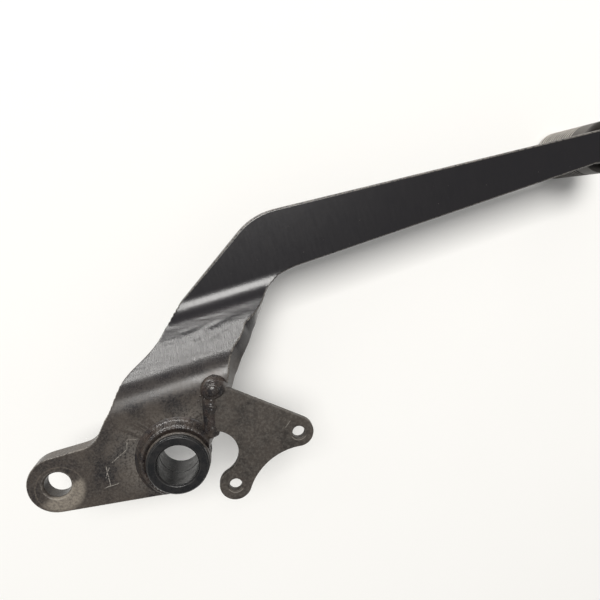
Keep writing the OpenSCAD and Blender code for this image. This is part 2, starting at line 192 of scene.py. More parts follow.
def scaled(tree, value, factor):
    item = put(tree, "ShaderNodeVectorMath", operation="SCALE")
    feed(tree, item.inputs["Vector"], value)
    feed(tree, item.inputs["Scale"], factor)
    return item.outputs["Vector"]


def ramp(tree, value, low, high, to_low=0.0, to_high=1.0):
    """A smooth step from to_low to to_high as the value goes from low to high."""
    item = put(tree, "ShaderNodeMapRange", interpolation_type="SMOOTHSTEP")
    for name, number in zip(("Value", "From Min", "From Max", "To Min", "To Max"),
                            (value, low, high, to_low, to_high)):
        feed(tree, item.inputs[name], number)
    return item.outputs["Result"]


def noise(tree, place, scale, detail=2.0, rough=0.5, turn=0.0):
    item = put(tree, "ShaderNodeTexNoise", noise_dimensions="4D")
    for name, number in (("Vector", place), ("Scale", scale), ("Detail", detail), ("Roughness", rough),
                         ("W", turn)):
        feed(tree, item.inputs[name], number)
    return item.outputs["Fac"]


def blend_colour(tree, amount, first, second):
    item = put(tree, "ShaderNodeMix", data_type="RGBA")
    for name, value in (("Factor_Float", amount), ("A_Color", first), ("B_Color", second)):
        feed(tree, next(s for s in item.inputs if s.identifier == name), value)
    return next(s for s in item.outputs if s.identifier == "Result_Color")


def split(tree, value):
    item = put(tree, "ShaderNodeSeparateXYZ")
    feed(tree, item.inputs[0], value)
    return item.outputs


def millimetres(tree):
    """Object coordinates in millimetres."""
    return scaled(tree, put(tree, "ShaderNodeTexCoord").outputs["Object"], 1 / MM)


def new_group(name, inputs, outputs, kind="ShaderNodeTree"):
    """A node group with named inputs (name, kind, default) and outputs (name, kind)."""
    tree = bpy.data.node_groups.new(name, kind)
    for label, socket, default in inputs:
        made = tree.interface.new_socket(label, in_out="INPUT", socket_type=socket)
        if default is not None:
            made.default_value = default
    for label, socket in outputs:
        tree.interface.new_socket(label, in_out="OUTPUT", socket_type=socket)
    return tree, put(tree, "NodeGroupInput").outputs, put(tree, "NodeGroupOutput").inputs


FLOAT, VECTOR, WHOLE, GEOMETRY = "NodeSocketFloat", "NodeSocketVector", "NodeSocketInt", "NodeSocketGeometry"


def dust_group():
    """Blotches of dust, broken up by a fine grain."""
    tree, given, out = new_group("Dust", [("Blotch", FLOAT, 0.2), ("Cover", FLOAT, 0.5),
                                          ("Grain", FLOAT, 3.0), ("Seed", FLOAT, 0.0)], [("Mask", FLOAT)])
    place = millimetres(tree)
    blotch = noise(tree, place, given["Blotch"], 4.0, 0.6, given["Seed"])
    grain = noise(tree, place, given["Grain"], 3.0, 0.65, given["Seed"])
    mixed = plus(tree, times(tree, blotch, 0.62), times(tree, grain, 0.38))
    edge = minus(tree, 0.66, times(tree, given["Cover"], 0.32))
    feed(tree, out["Mask"], ramp(tree, mixed, minus(tree, edge, 0.13), plus(tree, edge, 0.13)))
    return tree


def paint_group():
    """The skin of brushed-on paint: its bumps, the streaks along the part and fine pale specks."""
    tree, given, out = new_group("Paint skin", [("Turn", FLOAT, BEND_TURN), ("Speck", FLOAT, 0.5),
                                                ("Seed", FLOAT, 0.0)],
                                 [("Height", FLOAT), ("Streaks", FLOAT), ("Specks", FLOAT)])
    place = millimetres(tree)
    turned = put(tree, "ShaderNodeVectorRotate", rotation_type="Z_AXIS")
    feed(tree, turned.inputs["Vector"], place)
    feed(tree, turned.inputs["Angle"], times(tree, given["Turn"], -1))
    drawn = vector(tree, "MULTIPLY", turned.outputs["Vector"], (1.0, 0.09, 0.09))
    peel = noise(tree, place, 0.9, 3.0, 0.6, given["Seed"])
    fine = noise(tree, place, 4.5, 2.0, 0.6, given["Seed"])
    streak = noise(tree, drawn, 2.4, 3.0, 0.65, given["Seed"])
    feed(tree, out["Height"], plus(tree, times(tree, peel, 0.7),
                                   times(tree, fine, 0.3)))
    feed(tree, out["Streaks"], streak)
    dots = put(tree, "ShaderNodeTexVoronoi", feature="F1")
    feed(tree, dots.inputs["Vector"], place)
    feed(tree, dots.inputs["Scale"], 0.55)
    chance = split(tree, dots.outputs["Color"])[0]
    near = ramp(tree, dots.outputs["Distance"], 0.05, 0.13, 1.0, 0.0)
    some = ramp(tree, chance, minus(tree, 1.0, given["Speck"]), 1.0)
    feed(tree, out["Specks"], times(tree, near, some))
    return tree


def scratch_group():
    """One thin scratch between two places, slightly crooked and broken."""
    tree, given, out = new_group("Scratch", [("Start", VECTOR, (0, 0, 0)), ("End", VECTOR, (1, 0, 0)),
                                             ("Width", FLOAT, 0.12), ("Break", FLOAT, 0.4)],
                                 [("Mask", FLOAT)])
    place = millimetres(tree)
    wobble = put(tree, "ShaderNodeTexNoise")
    feed(tree, wobble.inputs["Vector"], place)
    feed(tree, wobble.inputs["Scale"], 0.9)
    shift = scaled(tree, vector(tree, "SUBTRACT", wobble.outputs["Color"], (0.5, 0.5, 0.5)), 0.55)
    here = vector(tree, "SUBTRACT", vector(tree, "ADD", place, shift), given["Start"])
    along = vector(tree, "SUBTRACT", given["End"], given["Start"])
    share = calc(tree, "DIVIDE", vector(tree, "DOT_PRODUCT", here, along),
                 vector(tree, "DOT_PRODUCT", along, along), clamp=True)
    away = vector(tree, "LENGTH", vector(tree, "SUBTRACT", here, scaled(tree, along, share)))
    line = ramp(tree, away, times(tree, given["Width"], 0.35), given["Width"], 1.0, 0.0)
    gaps = ramp(tree, noise(tree, place, 1.6, 3.0, 0.7), minus(tree, given["Break"], 0.06),
                plus(tree, given["Break"], 0.06))
    feed(tree, out["Mask"], times(tree, line, gaps))
    return tree


def ring_group():
    """A round mark on a face: the ring that a washer or a tool leaves, and the disc inside it."""
    tree, given, out = new_group("Ring mark", [("Centre", VECTOR, (0, 0, 0)), ("Radius", FLOAT, 5.0),
                                               ("Width", FLOAT, 0.3), ("Soft", FLOAT, 0.3)],
                                 [("Ring", FLOAT), ("Disc", FLOAT), ("Across", FLOAT), ("Up", FLOAT)])
    here = vector(tree, "SUBTRACT", millimetres(tree), given["Centre"])
    parts = split(tree, here)
    level = ramp(tree, calc(tree, "ABSOLUTE", parts[2]), 0.5, 0.8, 1.0, 0.0)
    reach = vector(tree, "LENGTH", vector(tree, "MULTIPLY", here, (1, 1, 0)))
    off = calc(tree, "ABSOLUTE", minus(tree, reach, given["Radius"]))
    ring = ramp(tree, off, times(tree, given["Width"], 0.3), given["Width"], 1.0, 0.0)
    disc = ramp(tree, reach, minus(tree, given["Radius"], given["Soft"]),
                plus(tree, given["Radius"], given["Soft"]), 1.0, 0.0)
    feed(tree, out["Ring"], times(tree, ring, level))
    feed(tree, out["Disc"], times(tree, disc, level))
    feed(tree, out["Across"], parts[0])
    feed(tree, out["Up"], parts[1])
    return tree


def wear_group():
    """Rubbed edges: the rounded rims that a finished piece carries in its attribute, broken up. On the plate
    and the bushes the lightened rims also stand in for painted highlight along the edges.
    """
    tree, given, out = new_group("Edge wear", [("Amount", FLOAT, 0.5), ("Break", FLOAT, 0.5),
                                               ("Seed", FLOAT, 0.0)], [("Mask", FLOAT)])
    rim = put(tree, "ShaderNodeAttribute", attribute_name="rim").outputs["Fac"]
    chips = noise(tree, millimetres(tree), 1.3, 5.0, 0.7, given["Seed"])
    broken = ramp(tree, chips, minus(tree, given["Break"], 0.1),
                  plus(tree, given["Break"], 0.1))
    feed(tree, out["Mask"], times(tree, times(tree, rim, broken), given["Amount"]))
    return tree


GROUP_MAKERS = {"Dust": dust_group, "Paint skin": paint_group, "Scratch": scratch_group,
                "Ring mark": ring_group, "Edge wear": wear_group}


def use(tree, name, **values):
    """Places a shared shader group, built the first time that it is needed."""
    item = put(tree, "ShaderNodeGroup")
    item.node_tree = bpy.data.node_groups.get(name) or GROUP_MAKERS[name]()
    for key, value in values.items():
        feed(tree, item.inputs[key], value)
    return item.outputs


def new_material(name):
    material = bpy.data.materials.new(name)
    material.use_nodes = True
    return material, material.node_tree, material.node_tree.nodes["Principled BSDF"]


def bumped(tree, shader, *layers):
    """Chains bumps of (height, strength, distance in millimetres) into the shader's normal."""
    normal = None
    for height, strength, distance in layers:
        item = put(tree, "ShaderNodeBump")
        feed(tree, item.inputs["Height"], height)
        item.inputs["Strength"].default_value = strength
        item.inputs["Distance"].default_value = distance * MM
        if normal:
            feed(tree, item.inputs["Normal"], normal)
        normal = item.outputs["Normal"]
    feed(tree, shader.inputs["Normal"], normal)


# Materials

def most(tree, first, *others):
    for other in others:
        first = calc(tree, "MAXIMUM", first, other)
    return first


# Scratches on the boss, in millimetres
BOSS_SCRATCHES = [
    ((-15.85, 6.91), (-13.11, 6.94)), ((-15.85, 6.91), (-15.99, 3.92)), ((-15.99, 3.92), (-18.23, 1.74)),
    ((-18.23, 1.74), (-20.64, -0.24)), ((-22.65, -1.64), (-21.8, -6.09)), ((-21.8, -6.09), (-21.6, -8.14)),
    ((-21.76, -2.04), (-22.85, -5.33)), ((-23.52, -8.67), (-19.18, -7.51)),
]


def black_paint():
    """Satin black paint, dusty and brown round the pivot and the eye, cleaner along the arm."""
    material, tree, shader = new_material("Black paint")
    tint = colours()
    place = millimetres(tree)
    x, y, _ = split(tree, place)
    across = minus(tree, times(tree, y, math.cos(BEND_TURN)),
                  times(tree, x, math.sin(BEND_TURN)))
    near_boss = ramp(tree, across, 14, 34, 1.0, 0.0)
    skin = use(tree, "Paint skin", Speck=0.25)
    dust = use(tree, "Dust", Blotch=0.13, Cover=0.62, Grain=2.2, Seed=1.0)["Mask"]
    dusty = times(tree, dust, ramp(tree, near_boss, 0, 1, 0.02, 0.62))
    base = blend_colour(tree, dusty, tint.paint, tint.dust)
    # The washer's print round the eye, and the tan patch inside it below the hole
    print_mark = use(tree, "Ring mark", Centre=(-36.8, -8.2, PLATE_FRONT), Radius=7.4, Width=0.35, Soft=1.1)
    patch = times(tree, print_mark["Disc"],
                 ramp(tree, minus(tree, times(tree, print_mark["Across"], 0.7),
                                 print_mark["Up"]), -0.4, 2.6))
    mottle = noise(tree, place, 1.4, 4.0, 0.7)
    patch = times(tree, patch, ramp(tree, mottle, 0.32, 0.62, 0.35, 1.0))
    base = blend_colour(tree, times(tree, patch, 0.8), base, (0.27, 0.235, 0.19))
    arc = times(tree, print_mark["Ring"], ramp(tree, mottle, 0.4, 0.6, 0.1, 0.6))
    base = blend_colour(tree, arc, base, (0.12, 0.1, 0.08))
    # Brown burn beside the welds
    burn = use(tree, "Ring mark", Centre=(10.6, 8.0, PLATE_FRONT), Radius=4.2, Width=0.5, Soft=2.2)["Disc"]
    tinted = use(tree, "Ring mark", Centre=(12.2, 26.2, PLATE_FRONT - 0.4), Radius=2.6, Width=0.5,
                 Soft=1.6)["Disc"]
    base = blend_colour(tree, times(tree, most(tree, burn, tinted), 0.45), base, tint.burn)
    marks = [use(tree, "Scratch", Start=(*a, PLATE_FRONT), End=(*b, PLATE_FRONT), Width=0.2,
                 Break=0.43)["Mask"] for a, b in BOSS_SCRATCHES]
    # Rims lightened as rubbed paint and also as painted highlight along the plate's edges
    wear = use(tree, "Edge wear", Amount=0.8, Break=0.47)["Mask"]
    grime = times(tree, ramp(tree, noise(tree, place, 1.3, 5.0, 0.7), 0.42, 0.64, 0.0, 0.1), near_boss)
    light = most(tree, times(tree, most(tree, *marks), 0.7), times(tree, wear, 0.5), grime,
                 times(tree, skin["Specks"], 0.12))
    feed(tree, shader.inputs["Base Color"], blend_colour(tree, light, base, tint.bare_and_sheen))
    rough = plus(tree, ramp(tree, skin["Streaks"], 0.3, 0.7, 0.215, 0.255),
                 times(tree, dusty, 0.35))
    # Crease wrinkles in the bends
    bend = times(tree, ramp(tree, across, 16, 24), ramp(tree, across, 38, 46, 1.0, 0.0))
    slope = times(tree, ramp(tree, across, 26, 29), ramp(tree, across, 34, 37, 1.0, 0.0))
    rough = plus(tree, rough, times(tree, slope, 0.03))
    rough = plus(tree, rough, times(tree, most(tree, patch, *marks), 0.3), clamp=True)
    feed(tree, shader.inputs["Roughness"], rough)
    fold = vector(tree, "MULTIPLY", put(tree, "ShaderNodeTexCoord").outputs["Object"], (60, 420, 420))
    wrinkle = times(tree, noise(tree, fold, 1.0, 2.0, 0.5, 3.0), bend)
    bumped(tree, shader, (wrinkle, 0.18, 0.4), (times(tree, skin["Streaks"], bend), 0.03, 0.05),
           (skin["Height"], 0.35, 0.05), (light, 0.3, 0.05))
    return material


def bracket_paint():
    """Brown-black mottled paint of the spring bracket, with pale arcs under its holes painted on as highlight
    on their lower rims.
    """
    material, tree, shader = new_material("Bracket paint")
    tint = colours()
    skin = use(tree, "Paint skin", Speck=0.4, Seed=4.0)
    dust = use(tree, "Dust", Blotch=0.22, Cover=0.6, Grain=1.6, Seed=7.0)["Mask"]
    base = blend_colour(tree, times(tree, dust, 0.42), tint.bracket, tint.dust)
    # Painted highlight: a pale arc on the lower rim of each hole only, where the rim catches the light
    hole_rim_highlights = []
    for hole in (RETURN_HOLE, SWITCH_HOLE):
        mark = use(tree, "Ring mark", Centre=(*hole, BRACKET_FRONT), Radius=2.65, Width=0.2, Soft=0.2)
        hole_rim_highlights.append(times(tree, mark["Ring"], ramp(tree, mark["Up"], -1.7, -1.0, 1.0, 0.0)))
    nick = use(tree, "Scratch", Start=(34.29, 9.2, BRACKET_FRONT), End=(35.6, 11.16, BRACKET_FRONT),
               Width=0.22, Break=0.38)["Mask"]
    wear = use(tree, "Edge wear", Amount=0.6, Break=0.52, Seed=5.0)["Mask"]
    grime = ramp(tree, noise(tree, millimetres(tree), 1.2, 5.0, 0.7, 6.0), 0.42, 0.64, 0.0, 0.12)
    light = most(tree, times(tree, most(tree, *hole_rim_highlights), 0.5), times(tree, nick, 0.5), grime,
                 times(tree, wear, 0.45), times(tree, skin["Specks"], 0.35))
    feed(tree, shader.inputs["Base Color"], blend_colour(tree, light, base, tint.bare_and_sheen))
    feed(tree, shader.inputs["Roughness"], ramp(tree, dust, 0, 1, 0.36, 0.62))
    bumped(tree, shader, (dust, 0.25, 0.06), (skin["Height"], 0.4, 0.06))
    return material


def weld_paint():
    """Black paint over a weld: glossy on the crests, brown and dull in the hollows, with pale flecks on the
    crests that are rubbed paint and painted highlight.
    """
    material, tree, shader = new_material("Painted weld")
    tint = colours()
    skin = use(tree, "Paint skin", Speck=0.5, Seed=9.0)
    dust = use(tree, "Dust", Blotch=0.35, Cover=0.5, Grain=2.6, Seed=11.0)["Mask"]
    place = millimetres(tree)
    brown = ramp(tree, noise(tree, place, 0.35, 3.0, 0.6, 2.0), 0.45, 0.62, 0.0, 0.3)
    base = blend_colour(tree, brown, tint.paint, tint.burn)
    base = blend_colour(tree, times(tree, dust, 0.45), base, tint.dust)
    crest = put(tree, "ShaderNodeAttribute", attribute_name="crest").outputs["Fac"]
    # Pale flecks on the crests: rubbed paint, and painted highlight glints
    crest_rub_and_glints = times(tree, ramp(tree, noise(tree, place, 2.4, 4.0, 0.7, 5.0), 0.52, 0.66), crest)
    base = blend_colour(tree, times(tree, crest_rub_and_glints, 0.2), base, tint.bare_and_sheen)
    feed(tree, shader.inputs["Base Color"], base)
    rough = plus(tree, ramp(tree, crest, 0, 1, 0.38, 0.2), times(tree, dust, 0.2))
    feed(tree, shader.inputs["Roughness"], rough)
    bumped(tree, shader, (noise(tree, place, 1.5, 3.0, 0.5), 0.22, 0.12), (skin["Height"], 0.25, 0.05))
    return material


def bush_finish():
    """Smooth blue-black bush with faint turning marks, and rims lightened as wear and as painted highlight."""
    material, tree, shader = new_material("Blue-black bush")
    tint = colours()
    place = millimetres(tree)
    flat = vector(tree, "MULTIPLY", place, (1, 1, 0))
    turning = noise(tree, vector(tree, "LENGTH", flat), 5.0, 3.0, 0.6)
    dust = use(tree, "Dust", Blotch=0.4, Cover=0.38, Grain=3.0, Seed=21.0)["Mask"]
    base = blend_colour(tree, times(tree, dust, 0.12), tint.bush, tint.dust)
    # Rims lightened as rubbed edges and also as painted highlight
    wear = use(tree, "Edge wear", Amount=0.7, Break=0.46, Seed=2.0)["Mask"]
    base = blend_colour(tree, times(tree, wear, 0.5), base, (0.16, 0.15, 0.14))
    feed(tree, shader.inputs["Base Color"], base)
    feed(tree, shader.inputs["Roughness"], plus(tree, ramp(tree, turning, 0.3, 0.7, 0.2, 0.28),
                                                times(tree, dust, 0.25)))
    bumped(tree, shader, (turning, 0.2, 0.02), (noise(tree, place, 2.0, 3.0, 0.6), 0.2, 0.03))
    return material


def stud_steel():
    """Dull plated steel with a dark film and turning marks."""
    material, tree, shader = new_material("Stud steel")
    tint = colours()
    place = millimetres(tree)
    dust = use(tree, "Dust", Blotch=0.4, Cover=0.6, Grain=2.0, Seed=31.0)["Mask"]
    feed(tree, shader.inputs["Base Color"], blend_colour(tree, times(tree, dust, 0.8), tint.stud, tint.dust))
    feed(tree, shader.inputs["Metallic"], ramp(tree, dust, 0, 1, 0.9, 0.3))
    feed(tree, shader.inputs["Roughness"], ramp(tree, dust, 0, 1, 0.38, 0.6))
    bumped(tree, shader, (noise(tree, place, 1.8, 4.0, 0.6), 0.3, 0.05))
    return material


def toe_rubber_finish():
    """Brown-black rubber with grey dust on the ribs; the dust is painted paler on the side towards the lamps
    and darker away from them, and the grooves are painted dark as shade.
    """
    material, tree, shader = new_material("Toe rubber")
    tint = colours()
    place = millimetres(tree)
    away = vector(tree, "SUBTRACT", place, (*PEG, 0))
    parts = split(tree, away)
    # Dust lies on the ribs; the grooves between them are kept dark as painted shade
    high = ramp(tree, vector(tree, "LENGTH", vector(tree, "MULTIPLY", away, (1, 1, 0))), 9.7, 9.79)
    collar = ramp(tree, parts[2], ARM_BACK - 8.6, ARM_BACK - 7.6, 1.0, 0.12)
    dust = use(tree, "Dust", Blotch=0.3, Cover=0.72, Grain=2.4, Seed=41.0)["Mask"]
    # Painted light and shade: the ribs' pale dust fades to a quarter on the −y side, away from the lamps
    lit_side = ramp(tree, parts[1], -9, 6, 0.25, 1.0)
    amount = times(tree, times(tree, ramp(tree, dust, 0, 1, 0.45, 1.0), high),
                  times(tree, collar, lit_side))
    base = blend_colour(tree, amount, tint.rubber, tint.rubber_dust)
    feed(tree, shader.inputs["Base Color"], base)
    feed(tree, shader.inputs["Roughness"], ramp(tree, amount, 0, 1, 0.5, 0.85))
    bumped(tree, shader, (noise(tree, place, 1.1, 3.0, 0.6), 0.35, 0.12),
           (noise(tree, place, 5.0, 3.0, 0.6), 0.3, 0.04))
    return material


def pale_table():
    material, tree, shader = new_material("Pale table")
    place = millimetres(tree)
    tint = colours().table
    faint = noise(tree, place, 0.02, 3.0, 0.5)
    feed(tree, shader.inputs["Base Color"],
         blend_colour(tree, faint, tint, tuple(0.985 * c for c in tint)))
    shader.inputs["Roughness"].default_value = 0.75
    shader.inputs["Specular IOR Level"].default_value = 0.2
    bumped(tree, shader, (noise(tree, place, 1.0, 3.0, 0.5), 0.1, 0.05))
    return material


FINISHES = {"Black paint": black_paint, "Bracket paint": bracket_paint, "Painted weld": weld_paint,
            "Blue-black bush": bush_finish, "Stud steel": stud_steel, "Toe rubber": toe_rubber_finish,
            "Pale table": pale_table}


def finish(name):
    """The named material, made the first time that it is needed."""
    return bpy.data.materials.get(name) or FINISHES[name]()


# Pieces

def in_scene(name, data):
    item = bpy.data.objects.new(name, data)
    bpy.context.scene.collection.objects.link(item)
    return item


def round_point(centre, radius, share, z):
    """A point on an upright circle's turn, at a share of the way round."""
    turn = 2 * math.pi * share
    return Vector((centre[0] + radius * math.cos(turn), centre[1] + radius * math.sin(turn), z))


def band(bm, low, high):
    """Faces between two equal closed rings of vertices."""
    for k in range(len(low)):
        m = (k + 1) % len(low)
        bm.faces.new((low[k], low[m], high[m], high[k]))


def plain_mesh(bm, name, outward=True, smooth=True):
    """The mesh of a bmesh, which is then freed."""
    if outward:
        bmesh.ops.recalc_face_normals(bm, faces=bm.faces)
    for face in bm.faces:
        face.smooth = smooth
    mesh = bpy.data.meshes.new(name)
    bm.to_mesh(mesh)
    bm.free()
    return mesh


def add_piece(name, mesh, node):
    """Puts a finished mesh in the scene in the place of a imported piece."""
    piece = in_scene(name, mesh)
    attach(piece, "root")
    if node:
        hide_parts(node)
    return piece


def merged_node(node):
    """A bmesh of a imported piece, with its loose triangles joined and its flat faces whole."""
    bm = bmesh.new()
    bm.from_mesh(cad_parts[node].data)
    bmesh.ops.remove_doubles(bm, verts=bm.verts, dist=1e-6)
    bmesh.ops.dissolve_limit(bm, angle_limit=math.radians(0.5), verts=bm.verts, edges=bm.edges)
    return bm


def rounded_piece(node, material, width, shortest, keep=lambda middle: 1.0):
    """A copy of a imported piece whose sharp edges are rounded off. keep gives the share of the rounding for an
    edge whose middle is given in millimetres."""
    bm = merged_node(node)
    near = [e for e in bm.edges if keep((e.verts[0].co + e.verts[1].co) / (2 * MM)) > 0]
    if shortest:
        bmesh.ops.dissolve_degenerate(bm, dist=shortest * MM, edges=near)
    bmesh.ops.delete(bm, geom=[e for e in bm.edges if not e.link_faces], context="EDGES")
    weight = bm.edges.layers.float.new("bevel_weight_edge")
    for edge in bm.edges:
        if len(edge.link_faces) == 2 and edge.calc_face_angle() > math.radians(35):
            edge[weight] = keep((edge.verts[0].co + edge.verts[1].co) / (2 * MM))
    holder = in_scene(node + "_rough", plain_mesh(bm, node + "_rough", outward=False))
    rounding = holder.modifiers.new("Rounded edges", "BEVEL")
    rounding.width = width
    rounding.segments = 3
    rounding.limit_method = "WEIGHT"
    rounding.use_clamp_overlap = False
    rounding.miter_outer = "MITER_SHARP"
    mesh = baked_mesh(holder, node + "_finished")
    mark_rims(mesh)
    mesh.materials.append(finish(material))
    piece = add_piece(node + "_finished", mesh, node)
    even_faces(piece)
    return piece


def even_faces(piece):
    """Lets the large flat faces keep their own shade next to narrow roundings."""
    shade = piece.modifiers.new("Even faces", "WEIGHTED_NORMAL")
    shade.mode = "FACE_AREA"
    shade.weight = 90
    shade.keep_sharp = False


def baked_mesh(holder, name):
    """The evaluated mesh of a helper object, which is then removed."""
    graph = bpy.context.evaluated_depsgraph_get()
    mesh = bpy.data.meshes.new_from_object(holder.evaluated_get(graph), depsgraph=graph)
    mesh.name = name
    rough = holder.data
    bpy.data.objects.remove(holder)
    if rough.users == 0:
        bpy.data.meshes.remove(rough)
    return mesh


def mark_rims(mesh):
    """Writes the attribute rim: 1 on outward roundings, 0 on flat faces and on those over 1.2 square mm."""
    bm = bmesh.new()
    bm.from_mesh(mesh)
    values = []
    for vert in bm.verts:
        edges = [edge for edge in vert.link_edges if len(edge.link_faces) == 2]
        turn = max((edge.calc_face_angle_signed(0.0) for edge in edges), default=0.0)
        large = max((f.calc_area() for f in vert.link_faces), default=0.0) > 1.2e-6
        values.append(0.0 if large else min(1.0, max(0.0, (math.degrees(turn) - 9) / 8)))
    bm.free()
    rim = mesh.attributes.new("rim", "FLOAT", "POINT")
    rim.data.foreach_set("value", values)


def loop_mesh(name, stations, closed, crests, travel):
    """A closed skin through equal rings of points in millimetres. crests and travel go into attributes."""
    count = len(stations[0])
    bm = bmesh.new()
    crest = bm.verts.layers.float.new("crest")
    along = bm.verts.layers.float.new("along")
    across = bm.verts.layers.float.new("across")
    rings = []
    for station, distance in zip(stations, travel):
        ring = []
        for k, point in enumerate(station):
            vert = bm.verts.new(Vector(point) * MM)
            vert[crest] = crests[k]
            vert[along] = distance
            vert[across] = 2 * k / (count - 1) - 1
            ring.append(vert)
        rings.append(ring)
    pairs = list(zip(rings, rings[1:])) + ([(rings[-1], rings[0])] if closed else [])
    for low, high in pairs:
        band(bm, low, high)
    if not closed:
        bm.faces.new(rings[0][::-1])
        bm.faces.new(rings[-1])
    bmesh.ops.remove_doubles(bm, verts=bm.verts, dist=1e-7)
    return plain_mesh(bm, name)


def new_layout(name, inputs):
    """A Geometry Nodes tree that takes a mesh and a material besides its own inputs."""
    return new_group(name, [("Geometry", GEOMETRY, None), *inputs, ("Material", "NodeSocketMaterial", None)],
                     [("Geometry", GEOMETRY)], "GeometryNodeTree")


def dressed(tree, geometry, given, out):
    """Ends a layout: instances made real, and the material set."""
    whole = put(tree, "GeometryNodeRealizeInstances")
    feed(tree, whole.inputs["Geometry"], geometry)
    painted = put(tree, "GeometryNodeSetMaterial")
    feed(tree, painted.inputs["Geometry"], whole.outputs["Geometry"])
    feed(tree, painted.inputs["Material"], given["Material"])
    feed(tree, out["Geometry"], painted.outputs["Geometry"])
    return tree


def shifted(tree, offset, given, out):
    """Ends a layout that moves the given mesh's points by an offset."""
    move = put(tree, "GeometryNodeSetPosition")
    feed(tree, move.inputs["Geometry"], given["Geometry"])
    feed(tree, move.inputs["Offset"], offset)
    return dressed(tree, move.outputs["Geometry"], given, out)


def ripple_tree():
    """Lays the ripples and lumps of a weld along its path."""
    tree, given, out = new_layout("Weld ripples", [
        ("Pitch", FLOAT, 0.0013), ("Depth", FLOAT, 0.0001), ("Curl", FLOAT, 1.0), ("Lump size", FLOAT, 0.002),
        ("Lump depth", FLOAT, 0.0002), ("Seed", FLOAT, 1.0)])

    def stored(name):
        item = put(tree, "GeometryNodeInputNamedAttribute", data_type="FLOAT")
        item.inputs["Name"].default_value = name
        return item.outputs["Attribute"]

    place = put(tree, "GeometryNodeInputPosition").outputs[0]
    normal = put(tree, "GeometryNodeInputNormal").outputs[0]
    across = stored("across")
    bow = times(tree, times(tree, across, across), times(tree, given["Curl"], MM))
    sway = noise(tree, place, 500.0, 1.0, 0.5, given["Seed"])
    phase = calc(tree, "FRACT", plus(tree, calc(tree, "DIVIDE", plus(tree, stored("along"), bow),
                                                       given["Pitch"]), times(tree, sway, 0.8)))
    off = calc(tree, "ABSOLUTE", times(tree, minus(tree, phase, 0.5), 2.0))
    wave = minus(tree, 1.0, calc(tree, "POWER", off, 3.0))
    uneven = noise(tree, place, 260.0, 1.0, 0.5, plus(tree, given["Seed"], 7.0))
    rise = times(tree, times(tree, wave, given["Depth"]), ramp(tree, uneven, 0.3, 0.7, 0.3, 1.3))
    lump = minus(tree, noise(tree, place, calc(tree, "DIVIDE", 1.0, given["Lump size"]), 2.0, 0.5,
                                        given["Seed"]), 0.5)
    rise = plus(tree, rise, times(tree, lump, times(tree, given["Lump depth"], 2.0)))
    rise = times(tree, rise, ramp(tree, stored("crest"), 0.0, 0.6))
    return shifted(tree, scaled(tree, normal, rise), given, out)


def laid_out(mesh, name, tree_name, maker, material, **values):
    """Runs a Geometry Nodes tree over a mesh, with its inputs set by name, and returns the plain result."""
    tree = bpy.data.node_groups.get(tree_name) or maker()
    holder = in_scene(name + "_base", mesh)
    work = holder.modifiers.new(tree_name, "NODES")
    work.node_group = tree
    codes = {item.name: item.identifier for item in tree.interface.items_tree if item.in_out == "INPUT"}
    for key, value in values.items():
        work[codes[key.replace("_", " ")]] = value
    work[codes["Material"]] = finish(material)
    result = baked_mesh(holder, name)
    if not result.materials:
        result.materials.append(finish(material))
    return result


# The lever plate

# The two bends: distances from the pivot, drop and slope between them, radius at the plate's middle
BEND_START, BEND_END, DROP, SLOPE, BEND_R = 18.5, 44.608, 20.0, math.radians(50), 10.0
# Step of the outline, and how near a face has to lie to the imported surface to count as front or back
EDGE_STEP, ON_FACE = 0.5, 0.06
# Nearer to the pivot than this, the edge is square and meets the tube's weld
SQUARE_EDGE_R = 10.9


def bent(s, front):
    """Height and slope of the plate's front or back face at a distance s across the bends."""
    wide, tight = BEND_R + PLATE_T / 2, BEND_R - PLATE_T / 2
    first, second = (wide, tight) if front else (tight, wide)
    near, far = BEND_START + first * math.sin(SLOPE), BEND_END - second * math.sin(SLOPE)
    if s <= BEND_START:
        return first - BEND_R, 0.0
    if s >= BEND_END:
        return BEND_R - DROP - second, 0.0
    if s < near:
        turn = math.asin((s - BEND_START) / first)
        return first * math.cos(turn) - BEND_R, turn
    if s > far:
        turn = math.asin((BEND_END - s) / second)
        return BEND_R - DROP - second * math.cos(turn), turn
    return first * math.cos(SLOPE) - BEND_R - (s - near) * math.tan(SLOPE), SLOPE


def along_across(x, y):
    """A place along (w) and across (s) the bend lines."""
    c, n = math.cos(BEND_TURN), math.sin(BEND_TURN)
    return x * c + y * n, y * c - x * n


def face_loop(bm, front):
    """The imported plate's outline on its front or back face, anticlockwise, as points in millimetres."""
    def on_face(face):
        for vert in face.verts:
            x, y, z = vert.co / MM
            if abs(z - bent(along_across(x, y)[1], front)[0]) > ON_FACE:
                return False
        return (face.normal.z > 0.5) == front and abs(face.normal.z) > 0.5
    chosen = {face for face in bm.faces if on_face(face)}
    links = {}
    for edge in bm.edges:
        if len(edge.link_faces) == 2 and (edge.link_faces[0] in chosen) != (edge.link_faces[1] in chosen):
            a, b = edge.verts
            links.setdefault(a, []).append(b)
            links.setdefault(b, []).append(a)
    loops = []
    while links:
        start = next(iter(links))
        loop, here = [start], start
        while links.get(here):
            after = links[here].pop()
            links[after].remove(here)
            if after is start:
                break
            loop.append(after)
            here = after
        links = {v: n for v, n in links.items() if n}
        loops.append([v.co / MM for v in loop])
    outline = max(loops, key=lambda loop: max((p - loop[0]).length for p in loop))
    area = sum(a.x * b.y - b.x * a.y for a, b in zip(outline, outline[1:] + outline[:1]))
    return outline if area > 0 else outline[::-1]


